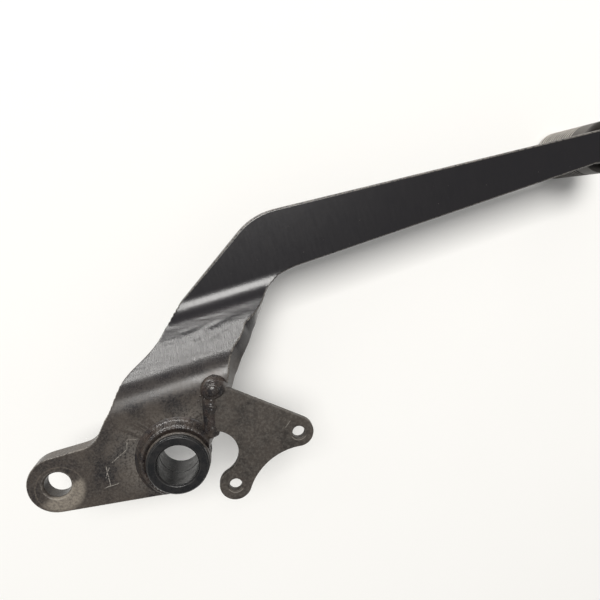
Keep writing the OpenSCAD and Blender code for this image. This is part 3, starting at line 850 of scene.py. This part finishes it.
def evenly(loop, step):
    """The same closed line in equal steps."""
    ends = loop[1:] + loop[:1]
    lengths = [(b - a).length for a, b in zip(loop, ends)]
    count = int(sum(lengths) / step)
    pace = sum(lengths) / count
    points, i, gone = [], 0, 0.0
    for k in range(count):
        while gone + lengths[i] < k * pace:
            gone += lengths[i]
            i += 1
        points.append(loop[i].lerp(ends[i], (k * pace - gone) / lengths[i]))
    return points


def facing_points(front, back):
    """For each point of the front outline, the point of the back outline straight behind it."""
    found = []
    ends = back[1:] + back[:1]
    for p in front:
        s = along_across(p.x, p.y)[1]
        slope = bent(s, True)[1]
        away = Vector((-math.sin(BEND_TURN) * math.sin(slope), math.cos(BEND_TURN) * math.sin(slope),
                       math.cos(slope)))
        aim = p - away * PLATE_T
        best = None
        for a, b in zip(back, ends):
            side = b - a
            share = min(1.0, max(0.0, (aim - a).dot(side) / max(side.dot(side), 1e-12)))
            spot = a + side * share
            gap = (spot - aim).length_squared
            if best is None or gap < best[0]:
                best = (gap, spot)
        found.append(best[1])
    return found


def eased_list(values, reach):
    count = len(values)
    return [sum((values[(i + k) % count] for k in range(-reach, reach + 1)), values[0] * 0) / (2 * reach + 1)
            for i in range(count)]


# Wrinkles of the joggle: place along and across the bends, lean, half length and height
WRINKLES = ((16, 33.4, 0.10, 7, 0.16), (21, 35.2, 0.16, 6, 0.20), (13, 36.0, 0.05, 6, 0.12),
            (24, 32.0, 0.22, 4, 0.15), (8, 34.4, 0.0, 5, 0.09))
# The hollow in the joggle's front: its depth, and where it starts, is deepest and ends across the bends
HOLLOW, HOLLOW_START, HOLLOW_DEEPEST, HOLLOW_END = 0.7, 23, 34, 39
# Radius of the front face in the second bend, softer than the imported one
SOFT_BEND_R = 10.5


def held(value):
    return max(0.0, min(1.0, value))


def crease(w, s):
    """Small pressed wrinkles and the hollow of the joggle's front face, in millimetres."""
    lines = 0.0
    for w0, s0, lean, length, height in WRINKLES:
        u = (w - w0) / length
        d = s - s0 - lean * (w - w0)
        lines += height * math.exp(-u * u - (d / 0.55) ** 2)
    lines *= held((s - 19) / 3) * held((46 - s) / 3)
    down = held((s - HOLLOW_START) / (HOLLOW_DEEPEST - HOLLOW_START))
    back_up = held((s - HOLLOW_DEEPEST) / (HOLLOW_END - HOLLOW_DEEPEST))
    swell = -HOLLOW * (down * down * (3 - 2 * down) - back_up * back_up * (3 - 2 * back_up))
    end = BEND_END + (SOFT_BEND_R - BEND_R + PLATE_T / 2) * math.tan(SLOPE / 2)
    if end - SOFT_BEND_R * math.sin(SLOPE) < s < end:
        arc = SOFT_BEND_R - math.sqrt(SOFT_BEND_R ** 2 - (end - s) ** 2)
        swell += bent(BEND_END, True)[0] + arc - bent(s, True)[0]
    return lines + swell


# The plate's holes: centre, steps round it, and its section from a face inwards as (radius, depth)
HOLES = ((EYE, 96, ((4.95, 0.0), (4.84, 0.02), (4.72, 0.09), (4.2, 0.58), (4.13, 0.7), (4.1, 0.9))),
         (PEG, 64, ((4.03, 0.0), (4.03, 0.4))))


def edge_rings(vert):
    """Rings of vertices down the plate's rounded edge, from its front face to its back face."""
    bm = merged_node("lever_plate")
    bm.normal_update()
    front = evenly(face_loop(bm, True), EDGE_STEP)
    back = eased_list(facing_points(front, face_loop(bm, False)), 2)
    bm.free()
    count = len(front)
    rounding = sizes().plate_round / MM
    tangents = eased_list([(front[(i + 1) % count] - front[i - 1]).xy.to_3d() for i in range(count)], 2)
    inward = [Vector((-t.y, t.x, 0)).normalized() for t in tangents]
    # The arm's edges are rounder than the boss's
    radii = eased_list([rounding * (1 + 0.9 * held((along_across(p.x, p.y)[1] - 46) / 8))
                        if math.hypot(p.x, p.y) > SQUARE_EDGE_R else 0.0 for p in front], 2)
    corner = [(1 - math.sin(math.radians(a)), 1 - math.cos(math.radians(a))) for a in (0, 22.5, 45, 67.5, 90)]
    layers = [(o, d, 0) for o, d in corner] + [(0, 0, share) for share in (0.3, 0.5, 0.7)] \
        + [(o, -d, 1) for o, d in reversed(corner)]
    rings = []
    for o, d, share in layers:
        ring = []
        for i in range(count):
            q = share + d * radii[i] / PLATE_T
            spot = front[i].lerp(back[i], q) + inward[i] * o * radii[i]
            ring.append(vert(spot.x, spot.y, q, 0 < o < 1))
        rings.append(ring)
    return rings


def hole_rings(vert, centre, steps, section):
    """Rings of vertices down a hole, from the plate's front face to its back face."""
    rings = []
    for radius, down in [*section, *((r, PLATE_T - d) for r, d in reversed(section))]:
        spots = [round_point(centre, radius, k / steps, 0) for k in range(steps)]
        rounded = 0.01 < min(down, PLATE_T - down) < 0.3
        rings.append([vert(spot.x, spot.y, down / PLATE_T, rounded) for spot in spots])
    return rings


def cap(bm, loops, top):
    """Fills a face of the plate from its outline, the first loop, to its holes, the other ones."""
    verts = [v for loop in loops for v in loop]
    edges, owner, base = [], {}, 0
    for number, loop in enumerate(loops):
        edges += [(base + k, base + (k + 1) % len(loop)) for k in range(len(loop))]
        owner.update({v: number for v in loop})
        base += len(loop)
    _, _, faces, source, _, _ = delaunay_2d_cdt([v.co.xy for v in verts], edges, [], 2, 1e-7)
    for face in faces:
        corners = [verts[source[k][0]] for k in face]
        # A face with all its corners on one hole lies in that hole
        if owner[corners[0]] > 0 and len({owner[v] for v in corners}) == 1:
            continue
        bm.faces.new(corners if top else corners[::-1])


# Strips across the bends: their number and width, and their start before the first bend line
STRIPS, STRIP_WIDTH, STRIP_LEAD = 48, 0.6, 0.3
# Strips along the bends, 1 mm wide: the lines between them, the stretch of the bends that they cut, and how
# near to a line a face has to be centred to be cut
STRIP_LINES, CUT_FROM, CUT_TO, CUT_NEAR = range(-20, 56), 19, 46.5, 40


def cut_strips(bm):
    """Cuts the flat plate into fine strips where it will bend."""
    across = Vector((-math.sin(BEND_TURN), math.cos(BEND_TURN), 0))
    for k in range(STRIPS):
        bmesh.ops.bisect_plane(bm, geom=bm.verts[:] + bm.edges[:] + bm.faces[:], dist=1e-4,
                               plane_co=across * (BEND_START - STRIP_LEAD + STRIP_WIDTH * k), plane_no=across)
    beside = Vector((math.cos(BEND_TURN), math.sin(BEND_TURN), 0))
    for w in STRIP_LINES:
        near = [f for f in bm.faces if CUT_FROM < f.calc_center_median().dot(across) < CUT_TO
                and abs(f.calc_center_median().dot(beside) - w) < CUT_NEAR]
        geom = list({v for f in near for v in f.verts}) + list({e for f in near for e in f.edges}) + near
        bmesh.ops.bisect_plane(bm, geom=geom, dist=1e-4, plane_co=beside * w, plane_no=beside)


def lever_plate():
    """The pressed plate: true bends, rounded edges and a soft chamfer round the eye."""
    bm = bmesh.new()
    depth = bm.verts.layers.float.new("depth")
    rim = bm.verts.layers.float.new("rim")

    def vert(x, y, q, rounded):
        made = bm.verts.new(Vector((x, y, -q * PLATE_T)))
        made[depth] = q
        made[rim] = 1.0 if rounded else 0.0
        return made

    rings = edge_rings(vert)
    holes = [hole_rings(vert, *hole) for hole in HOLES]
    for stack, turn in [(rings, 1)] + [(hole, -1) for hole in holes]:
        for high, low in zip(stack, stack[1:]):
            for k in range(len(high)):
                m = (k + 1) % len(high)
                bm.faces.new((high[k], low[k], low[m], high[m])[::turn])
    cap(bm, [rings[0]] + [hole[0] for hole in holes], True)
    cap(bm, [rings[-1]] + [hole[-1] for hole in holes], False)
    cut_strips(bm)
    for v in bm.verts:
        w, s = along_across(v.co.x, v.co.y)
        high, low = bent(s, True)[0], bent(s, False)[0]
        v.co.z = high + (low - high) * v[depth] + crease(w, s) * (1 - v[depth])
        v.co *= MM
    bmesh.ops.remove_doubles(bm, verts=bm.verts, dist=2e-6)
    mesh = plain_mesh(bm, "lever_plate_finished")
    mesh.materials.append(finish("Black paint"))
    piece = add_piece("lever_plate_finished", mesh, "lever_plate")
    even_faces(piece)
    return piece


# The tube weld's section: share of its width, share of its height, and how far a ripple reaches there
TUBE_WELD_SECTION = (
    (1.0, 0.0, 0.0), (0.93, 0.02, 0.2), (0.86, 0.06, 0.5), (0.79, 0.13, 0.8), (0.72, 0.23, 1),
    (0.66, 0.35, 1), (0.6, 0.49, 1), (0.55, 0.63, 1), (0.5, 0.77, 1), (0.45, 0.88, 1), (0.39, 0.965, 1),
    (0.33, 1.0, 1), (0.26, 0.995, 1), (0.19, 0.95, 0.9), (0.12, 0.88, 0.6), (0.05, 0.82, 0.3),
    (-0.06, 0.8, 0), (-0.12, 0.5, 0), (-0.12, -0.08, 0), (0.5, -0.1, 0), (0.95, -0.08, 0))
# Least width of the tube weld, where the plate's edge runs close to the tube
LEAST_WELD = 0.25


def plate_reach(side, reach, steps):
    """How far the plate's face goes on outside the tube, in each direction, up to the weld's reach."""
    bm = merged_node("lever_plate")
    search = BVHTree.FromBMesh(bm)
    bm.free()
    inset = 0.12
    lands = []
    for i in range(steps):
        way = round_point((0, 0), 1, i / steps, 0)
        start = way * (TUBE_R + inset) * MM + Vector((0, 0, side * (PLATE_FRONT - 0.2) * MM))
        hit, normal, _, distance = search.ray_cast(start, way)
        inside = hit is not None and normal.dot(way) > 0
        lands.append(min(reach, distance / MM + inset) if inside else 0.0)
    return lands


def tube_weld(name, node, side):
    """The weld round the pivot tube: concave toe, steep face and rolled crest, no wider than the plate."""
    use_sizes = sizes()
    reach, crest_h = use_sizes.weld_reach / MM, use_sizes.weld_crest / MM
    steps = 400
    lands = plate_reach(side, reach, steps)
    stations, travel = [], []
    for i, (land, smooth) in enumerate(zip(lands, eased_list(lands, 6))):
        width = max(LEAST_WELD, min(smooth, land + 0.1) - 0.12)
        rise = crest_h * (0.25 + 0.75 * min(1.0, width / reach) ** 0.6)
        stations.append([
            round_point((0, 0), TUBE_R + out * width, i / steps, side * (PLATE_FRONT + up * rise))
            for out, up, _ in TUBE_WELD_SECTION])
        travel.append(2 * math.pi * i / steps * (TUBE_R + 1.5) * MM)
    mesh = loop_mesh(name, stations, True, [crest for _, _, crest in TUBE_WELD_SECTION], travel)
    # The outer weld is laid more evenly
    lump, seed = (0.00016, 2.0) if side > 0 else (0.00006, 6.0)
    mesh = laid_out(mesh, name, "Weld ripples", ripple_tree, "Painted weld", Pitch=use_sizes.ripple_pitch,
                    Depth=use_sizes.ripple_depth, Curl=1.4, Lump_size=0.0024, Lump_depth=lump, Seed=seed)
    return add_piece(name, mesh, node)


def seam_weld():
    """The rough seam down the bracket's left edge, from the corner weld to the tube's weld: a low wide bead
    with a narrow ridge along its middle."""
    half = sizes().seam_width / MM / 2
    steps, ring, turns = 90, 22, 8
    chance = Random(4)
    wander = [chance.uniform(-1, 1) for _ in range(turns + 1)]
    stations, travel, before, gone = [], [], None, 0.0
    for i in range(steps):
        t = i / (steps - 1)
        k = min(int(t * turns), turns - 1)
        sway = wander[k] + (wander[k + 1] - wander[k]) * (t * turns - k)
        # The ends are rounded off over a tenth of the length
        ends = math.sqrt(max(1e-4, 1 - max(0.0, 1 - min(t, 1 - t) / 0.1) ** 2))
        radius = ends * half * (1 + 0.1083 * sway - 0.4167 * t * t)
        middle = Vector((10.95 - 0.5 * t * t + 0.3 * sway, 20.6 - 14.2 * t, PLATE_FRONT + 0.95 + 0.15 * sway))
        gone += (middle - before).length if before is not None else 0.0
        before = middle
        station = []
        for k in range(ring):
            across, up = -math.cos(2 * math.pi * k / ring), math.sin(2 * math.pi * k / ring)
            ridge = 0.3 * math.exp(-(across / 0.42) ** 2) if 0 < k < ring / 2 else 0.0
            station.append(middle + radius * Vector((across, 0, 0.5 * up + ridge)))
        stations.append(station)
        travel.append(gone * MM)
    crests = [max(0.0, math.sin(2 * math.pi * k / ring)) for k in range(ring)]
    mesh = loop_mesh("bracket_seam_weld_finished", stations, False, crests, travel)
    mesh = laid_out(mesh, "bracket_seam_weld_finished", "Weld ripples", ripple_tree, "Painted weld",
                    Pitch=0.0011, Depth=0.00005, Curl=0.0, Lump_size=0.0019, Lump_depth=0.0006, Seed=3.0)
    return add_piece("bracket_seam_weld_finished", mesh, "bracket_seam_weld")


# The corner weld's section as (radius, height over the plate), from the collar's foot to the dome's top
CORNER_WELD_SECTION = (
    (4.2, -0.15), (4.1, 0.2), (4.0, 0.6), (3.88, 1.3), (3.72, 2.0), (3.52, 2.6), (3.25, 3.0),
    (2.95, 3.25), (2.65, 3.35), (2.42, 3.3), (2.28, 3.4), (2.15, 3.7), (1.95, 4.05), (1.65, 4.35),
    (1.25, 4.58), (0.75, 4.73), (0.3, 4.8))


def corner_weld():
    """The domed weld over the bracket's top corner: a glossy cap with a collar round it, leaning a little."""
    steps = 72
    stations = []
    for r, up in CORNER_WELD_SECTION:
        lean = 0.10 * up
        centre = (CORNER_WELD[0] - lean, CORNER_WELD[1] + 0.5 * lean)
        ring = []
        for k in range(steps):
            turn = 2 * math.pi * k / steps
            sway = 1 + 0.06 * math.sin(2 * turn + 0.7) + 0.035 * math.sin(3 * turn + 2.0)
            ring.append(round_point(centre, r * sway, k / steps, PLATE_FRONT + up))
        stations.append(ring)
    mesh = loop_mesh("bracket_corner_weld_finished", stations, False, [1.0] * steps, [0.0] * len(stations))
    mesh = laid_out(mesh, "bracket_corner_weld_finished", "Weld ripples", ripple_tree, "Painted weld",
                    Pitch=0.05, Depth=0.0, Curl=0.0, Lump_size=0.0019, Lump_depth=0.00032, Seed=8.0)
    return add_piece("bracket_corner_weld_finished", mesh, "bracket_corner_weld")


def spatter_tree():
    """Scatters weld spatter: small flattened drops on the points of a patch."""
    tree, given, out = new_layout("Weld spatter", [("Density", FLOAT, 300000.0), ("Drop", FLOAT, 0.0004),
                                                   ("Seed", WHOLE, 3)])
    spread = put(tree, "GeometryNodeDistributePointsOnFaces", distribute_method="POISSON")
    feed(tree, spread.inputs["Mesh"], given["Geometry"])
    feed(tree, spread.inputs["Distance Min"], times(tree, given["Drop"], 2.45))
    feed(tree, spread.inputs["Density Max"], given["Density"])
    feed(tree, spread.inputs["Seed"], given["Seed"])
    drop = put(tree, "GeometryNodeMeshIcoSphere")
    drop.inputs["Subdivisions"].default_value = 3
    feed(tree, drop.inputs["Radius"], given["Drop"])
    soft = put(tree, "GeometryNodeSetShadeSmooth")
    feed(tree, soft.inputs["Geometry"], drop.outputs["Mesh"])
    grow = put(tree, "FunctionNodeRandomValue", data_type="FLOAT_VECTOR")
    feed(tree, grow.inputs[0], (0.5, 0.5, 0.35))
    feed(tree, grow.inputs[1], (1.15, 1.15, 0.75))
    feed(tree, grow.inputs["Seed"], given["Seed"])
    spots = put(tree, "GeometryNodeInstanceOnPoints")
    feed(tree, spots.inputs["Points"], spread.outputs["Points"])
    feed(tree, spots.inputs["Instance"], soft.outputs["Geometry"])
    feed(tree, spots.inputs["Scale"], grow.outputs[0])
    return dressed(tree, spots.outputs["Instances"], given, out)


# Patches of spatter beside the corner weld and at the seam's lower end: the four sides, and the height
SPATTER_PATCHES = ((6.6, 8.6, 18.4, 22.2, PLATE_FRONT - 0.03), (9.4, 11.4, 5.6, 9.4, PLATE_FRONT + 0.9))


def spatter():
    bm = bmesh.new()
    for x0, x1, y0, y1, z in SPATTER_PATCHES:
        corners = ((x0, y0), (x1, y0), (x1, y1), (x0, y1))
        bm.faces.new([bm.verts.new(Vector((x, y, z)) * MM) for x, y in corners])
    mesh = plain_mesh(bm, "weld_spatter_patch", outward=False, smooth=False)
    mesh = laid_out(mesh, "weld_spatter", "Weld spatter", spatter_tree, "Painted weld", Density=1200000.0,
                    Drop=0.00045, Seed=6)
    return add_piece("weld_spatter", mesh, None)


def stud_weld():
    """The weld that holds the toe peg in the arm's back face."""
    steps, ring = 120, 18
    radius, thick, depth = 4.6, 1.15, 0.35
    stations = [[round_point(PEG, radius + thick * math.cos(2 * math.pi * k / ring), i / steps,
                             ARM_BACK - depth + thick * math.sin(2 * math.pi * k / ring))
                 for k in range(ring)] for i in range(steps)]
    travel = [2 * math.pi * i / steps * radius * MM for i in range(steps)]
    mesh = loop_mesh("toe_stud_weld_finished", stations, True, [1.0] * ring, travel)
    mesh = laid_out(mesh, "toe_stud_weld_finished", "Weld ripples", ripple_tree, "Painted weld", Pitch=0.0011,
                    Depth=0.00012, Curl=0.0, Lump_size=0.0015, Lump_depth=0.0001, Seed=12.0)
    return add_piece("toe_stud_weld_finished", mesh, "toe_stud_weld")


# Points farther than this from the rubber's axis, in metres, are on its outer skin
OUTER_SKIN_R = 0.0088
# How far the ribbed stretch runs on past the plain collar and the plain rim
RIB_OVERLAP = 0.0004


def rib_tree():
    """Presses the grooves between the ribs into a plain sleeve round an upright axis."""
    tree, given, out = new_layout("Rubber ribs", [
        ("Axis", VECTOR, (0, 0, 0)), ("First", FLOAT, 0.008), ("Last", FLOAT, 0.03), ("Count", WHOLE, 13),
        ("Gap", FLOAT, 0.001), ("Depth", FLOAT, 0.0008)])
    away = vector(tree, "SUBTRACT", put(tree, "GeometryNodeInputPosition").outputs[0], given["Axis"])
    flat = vector(tree, "MULTIPLY", away, (1, 1, 0))
    down = times(tree, split(tree, away)[2], -1.0)
    pitch = calc(tree, "DIVIDE", minus(tree, given["Last"], given["First"]), given["Count"])
    share = calc(tree, "DIVIDE", minus(tree, down, given["First"]), pitch)
    gap = calc(tree, "DIVIDE", given["Gap"], pitch)
    off = times(tree, calc(tree, "ABSOLUTE", minus(tree, calc(tree, "FRACT", share), 0.5)), 2.0)
    groove = ramp(tree, off, times(tree, gap, 0.82), times(tree, gap, 1.1), 1.0, 0.0)
    inside = times(tree, calc(tree, "GREATER_THAN", share, 0.0),
                  calc(tree, "LESS_THAN", share, given["Count"]))
    outer = calc(tree, "GREATER_THAN", vector(tree, "LENGTH", flat), OUTER_SKIN_R)
    depth = times(tree, times(tree, groove, given["Depth"]),
                 times(tree, inside, outer))
    inward = times(tree, depth, -1.0)
    return shifted(tree, scaled(tree, vector(tree, "NORMALIZE", flat), inward), given, out)


def rubber_sleeve():
    """The toe rubber: a sleeve with a closed end, in rings that are fine enough for its ribs."""
    low, high = (Vector(corner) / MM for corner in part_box("toe_rubber"))
    radius = (high.x - low.x) / 2
    length = high.z - low.z
    # Roundings of the end and the collar, bore, recess for the stud's weld, length of its head, end wall
    soft, lip, bore, recess, recess_t, head_t, wall = 1.1, 0.6, 4.1, 6.1, 2.2, 3.15, 2.45
    section = [(bore, recess_t), (recess, recess_t), (recess, 0.0), (radius - lip, 0.0),
               (radius - 0.17, 0.17), (radius, lip)]
    rows = 190
    section += [(radius, lip + (length - soft - lip) * i / rows) for i in range(1, rows + 1)]
    section += [(radius - soft * (1 - math.cos(a)), length - soft * (1 - math.sin(a)))
                for a in (math.radians(15 * k) for k in range(1, 7))]
    section += [(radius * 0.6, length), (radius * 0.3, length)]
    head = length - wall - head_t
    inner = [(recess, length - wall), (recess, head), (bore, head)]
    steps = 128
    bm = bmesh.new()

    def ring(r, down):
        return [bm.verts.new(round_point(PEG, r, k / steps, ARM_BACK - down) * MM) for k in range(steps)]

    rings, inner_rings = [[ring(r, down) for r, down in part] for part in (section, inner)]
    for stack in (rings, [*inner_rings, rings[0]]):
        for a, b in zip(stack, stack[1:]):
            band(bm, a, b)
    tip, floor = [bm.verts.new(Vector((*PEG, ARM_BACK - down)) * MM) for down in (length, length - wall)]
    for k in range(steps):
        m = (k + 1) % steps
        bm.faces.new((rings[-1][k], rings[-1][m], tip))
        bm.faces.new((inner_rings[0][m], inner_rings[0][k], floor))
    mesh = plain_mesh(bm, "toe_rubber_sleeve")
    use_sizes = sizes()
    mesh = laid_out(mesh, "toe_rubber_finished", "Rubber ribs", rib_tree, "Toe rubber",
                    Axis=(PEG[0] * MM, PEG[1] * MM, ARM_BACK * MM), First=use_sizes.rib_collar - RIB_OVERLAP,
                    Last=length * MM - use_sizes.rib_rim + RIB_OVERLAP, Count=use_sizes.rib_count,
                    Gap=use_sizes.rib_gap, Depth=use_sizes.rib_depth)
    return add_piece("toe_rubber_finished", mesh, "toe_rubber")


# Operators

class PEDAL_OT_lever(Operator):
    """Finish the pressed lever plate"""
    bl_idname = "pedal.lever"
    bl_label = "Lever plate"

    def execute(self, context):
        lever_plate()
        return {"FINISHED"}


class PEDAL_OT_turned(Operator):
    """Finish the pivot tube, its bushes and the toe peg's stud"""
    bl_idname = "pedal.turned"
    bl_label = "Turned pieces"

    def execute(self, context):
        width = sizes().turned_round
        rounded_piece("pivot_tube", "Black paint", width, 0)
        for node in ("inner_bush", "outer_bush"):
            rounded_piece(node, "Blue-black bush", width, 0)
        rounded_piece("toe_stud", "Stud steel", width, 0)
        return {"FINISHED"}


class PEDAL_OT_tube_welds(Operator):
    """Lay the welds round the pivot tube, on both sides of the plate"""
    bl_idname = "pedal.tube_welds"
    bl_label = "Tube welds"

    def execute(self, context):
        tube_weld("tube_weld_inner_finished", "tube_weld_inner", 1)
        tube_weld("tube_weld_outer_finished", "tube_weld_outer", -1)
        return {"FINISHED"}


class PEDAL_OT_bracket(Operator):
    """Finish the stamped spring bracket"""
    bl_idname = "pedal.bracket"
    bl_label = "Spring bracket"

    def execute(self, context):
        rounded_piece("spring_bracket", "Bracket paint", sizes().bracket_round, 0.15)
        return {"FINISHED"}


class PEDAL_OT_bracket_welds(Operator):
    """Lay the bracket's seam, its corner weld and the spatter beside them"""
    bl_idname = "pedal.bracket_welds"
    bl_label = "Bracket welds"

    def execute(self, context):
        seam_weld()
        corner_weld()
        spatter()
        return {"FINISHED"}


class PEDAL_OT_toe_rubber(Operator):
    """Mould the ribbed toe rubber and lay the stud's weld inside it"""
    bl_idname = "pedal.toe_rubber"
    bl_label = "Toe rubber"

    def execute(self, context):
        stud_weld()
        rubber_sleeve()
        return {"FINISHED"}


def add_lamp(name, place, aim, width, height, watts, tint):
    light = bpy.data.lights.new(name, "AREA")
    light.shape = "RECTANGLE"
    light.size, light.size_y = width, height
    light.energy = watts
    light.color = tint
    lamp = in_scene(name, light)
    lamp.location = place
    lamp.rotation_euler = (Vector(aim) - Vector(place)).to_track_quat("-Z", "Y").to_euler()


class PEDAL_OT_stage(Operator):
    """Set the pale table, the soft lights and the camera"""
    bl_idname = "pedal.stage"
    bl_label = "Stage"

    def execute(self, context):
        bm = bmesh.new()
        bmesh.ops.create_grid(bm, x_segments=1, y_segments=1, size=4)
        bmesh.ops.translate(bm, verts=bm.verts, vec=(0, 0, CAD_BOX[0][2] - 0.0002))
        mesh = plain_mesh(bm, "pale_table", outward=False, smooth=False)
        mesh.materials.append(finish("Pale table"))
        in_scene("pale_table", mesh)
        world = bpy.data.worlds.new("Studio")
        context.scene.world = world
        world.use_nodes = True
        sky = world.node_tree.nodes["Background"]
        sky.inputs["Color"].default_value = (1, 1, 1, 1)
        sky.inputs["Strength"].default_value = 0.30
        add_lamp("Key light", (-0.15, 0.67, 1.69), (0.04, 0.03, 0), 0.75, 0.7, 28.5, (1.0, 0.985, 0.96))
        add_lamp("Window", (-0.84, 3.0, 0.09), (0.02, 0.03, 0.0), 4.4, 0.26, 90.0, (1.0, 0.985, 0.955))
        camera = bpy.data.cameras.new("Camera")
        camera.lens = 31.5
        camera.sensor_width = 36
        camera.clip_start = 0.01
        view = in_scene("Camera", camera)
        turn = Matrix((CAMERA_RIGHT, CAMERA_UP, CAMERA_BACK)).transposed().to_4x4()
        view.matrix_world = Matrix.Translation(CAMERA_PLACE) @ turn
        context.scene.camera = view
        context.scene.view_settings.view_transform = "Standard"
        return {"FINISHED"}


OPERATORS = (PEDAL_OT_lever, PEDAL_OT_turned, PEDAL_OT_tube_welds, PEDAL_OT_bracket, PEDAL_OT_bracket_welds,
             PEDAL_OT_toe_rubber, PEDAL_OT_stage)


class PEDAL_PT_panel(Panel):
    """Pieces of the brake pedal, with their sizes and colours"""
    bl_idname = "PEDAL_PT_panel"
    bl_label = "Brake Pedal"
    bl_space_type = "VIEW_3D"
    bl_region_type = "UI"
    bl_category = "Brake Pedal"

    def draw(self, context):
        for kind in OPERATORS:
            self.layout.operator(kind.bl_idname)
        for group in (context.scene.pedal_sizes, context.scene.pedal_colours):
            column = self.layout.column()
            for name in group.bl_rna.properties.keys():
                if name not in ("rna_type", "name"):
                    column.prop(group, name)


CLASSES = (PEDAL_PG_sizes, PEDAL_PG_colours, *OPERATORS, PEDAL_PT_panel)


def register():
    for kind in CLASSES:
        bpy.utils.register_class(kind)
    bpy.types.Scene.pedal_sizes = PointerProperty(type=PEDAL_PG_sizes)
    bpy.types.Scene.pedal_colours = PointerProperty(type=PEDAL_PG_colours)


def unregister():
    del bpy.types.Scene.pedal_colours
    del bpy.types.Scene.pedal_sizes
    for kind in reversed(CLASSES):
        bpy.utils.unregister_class(kind)


def main():
    register()
    for kind in OPERATORS:
        group, name = kind.bl_idname.split(".")
        getattr(getattr(bpy.ops, group), name)()


if __name__ == "__main__":
    main()
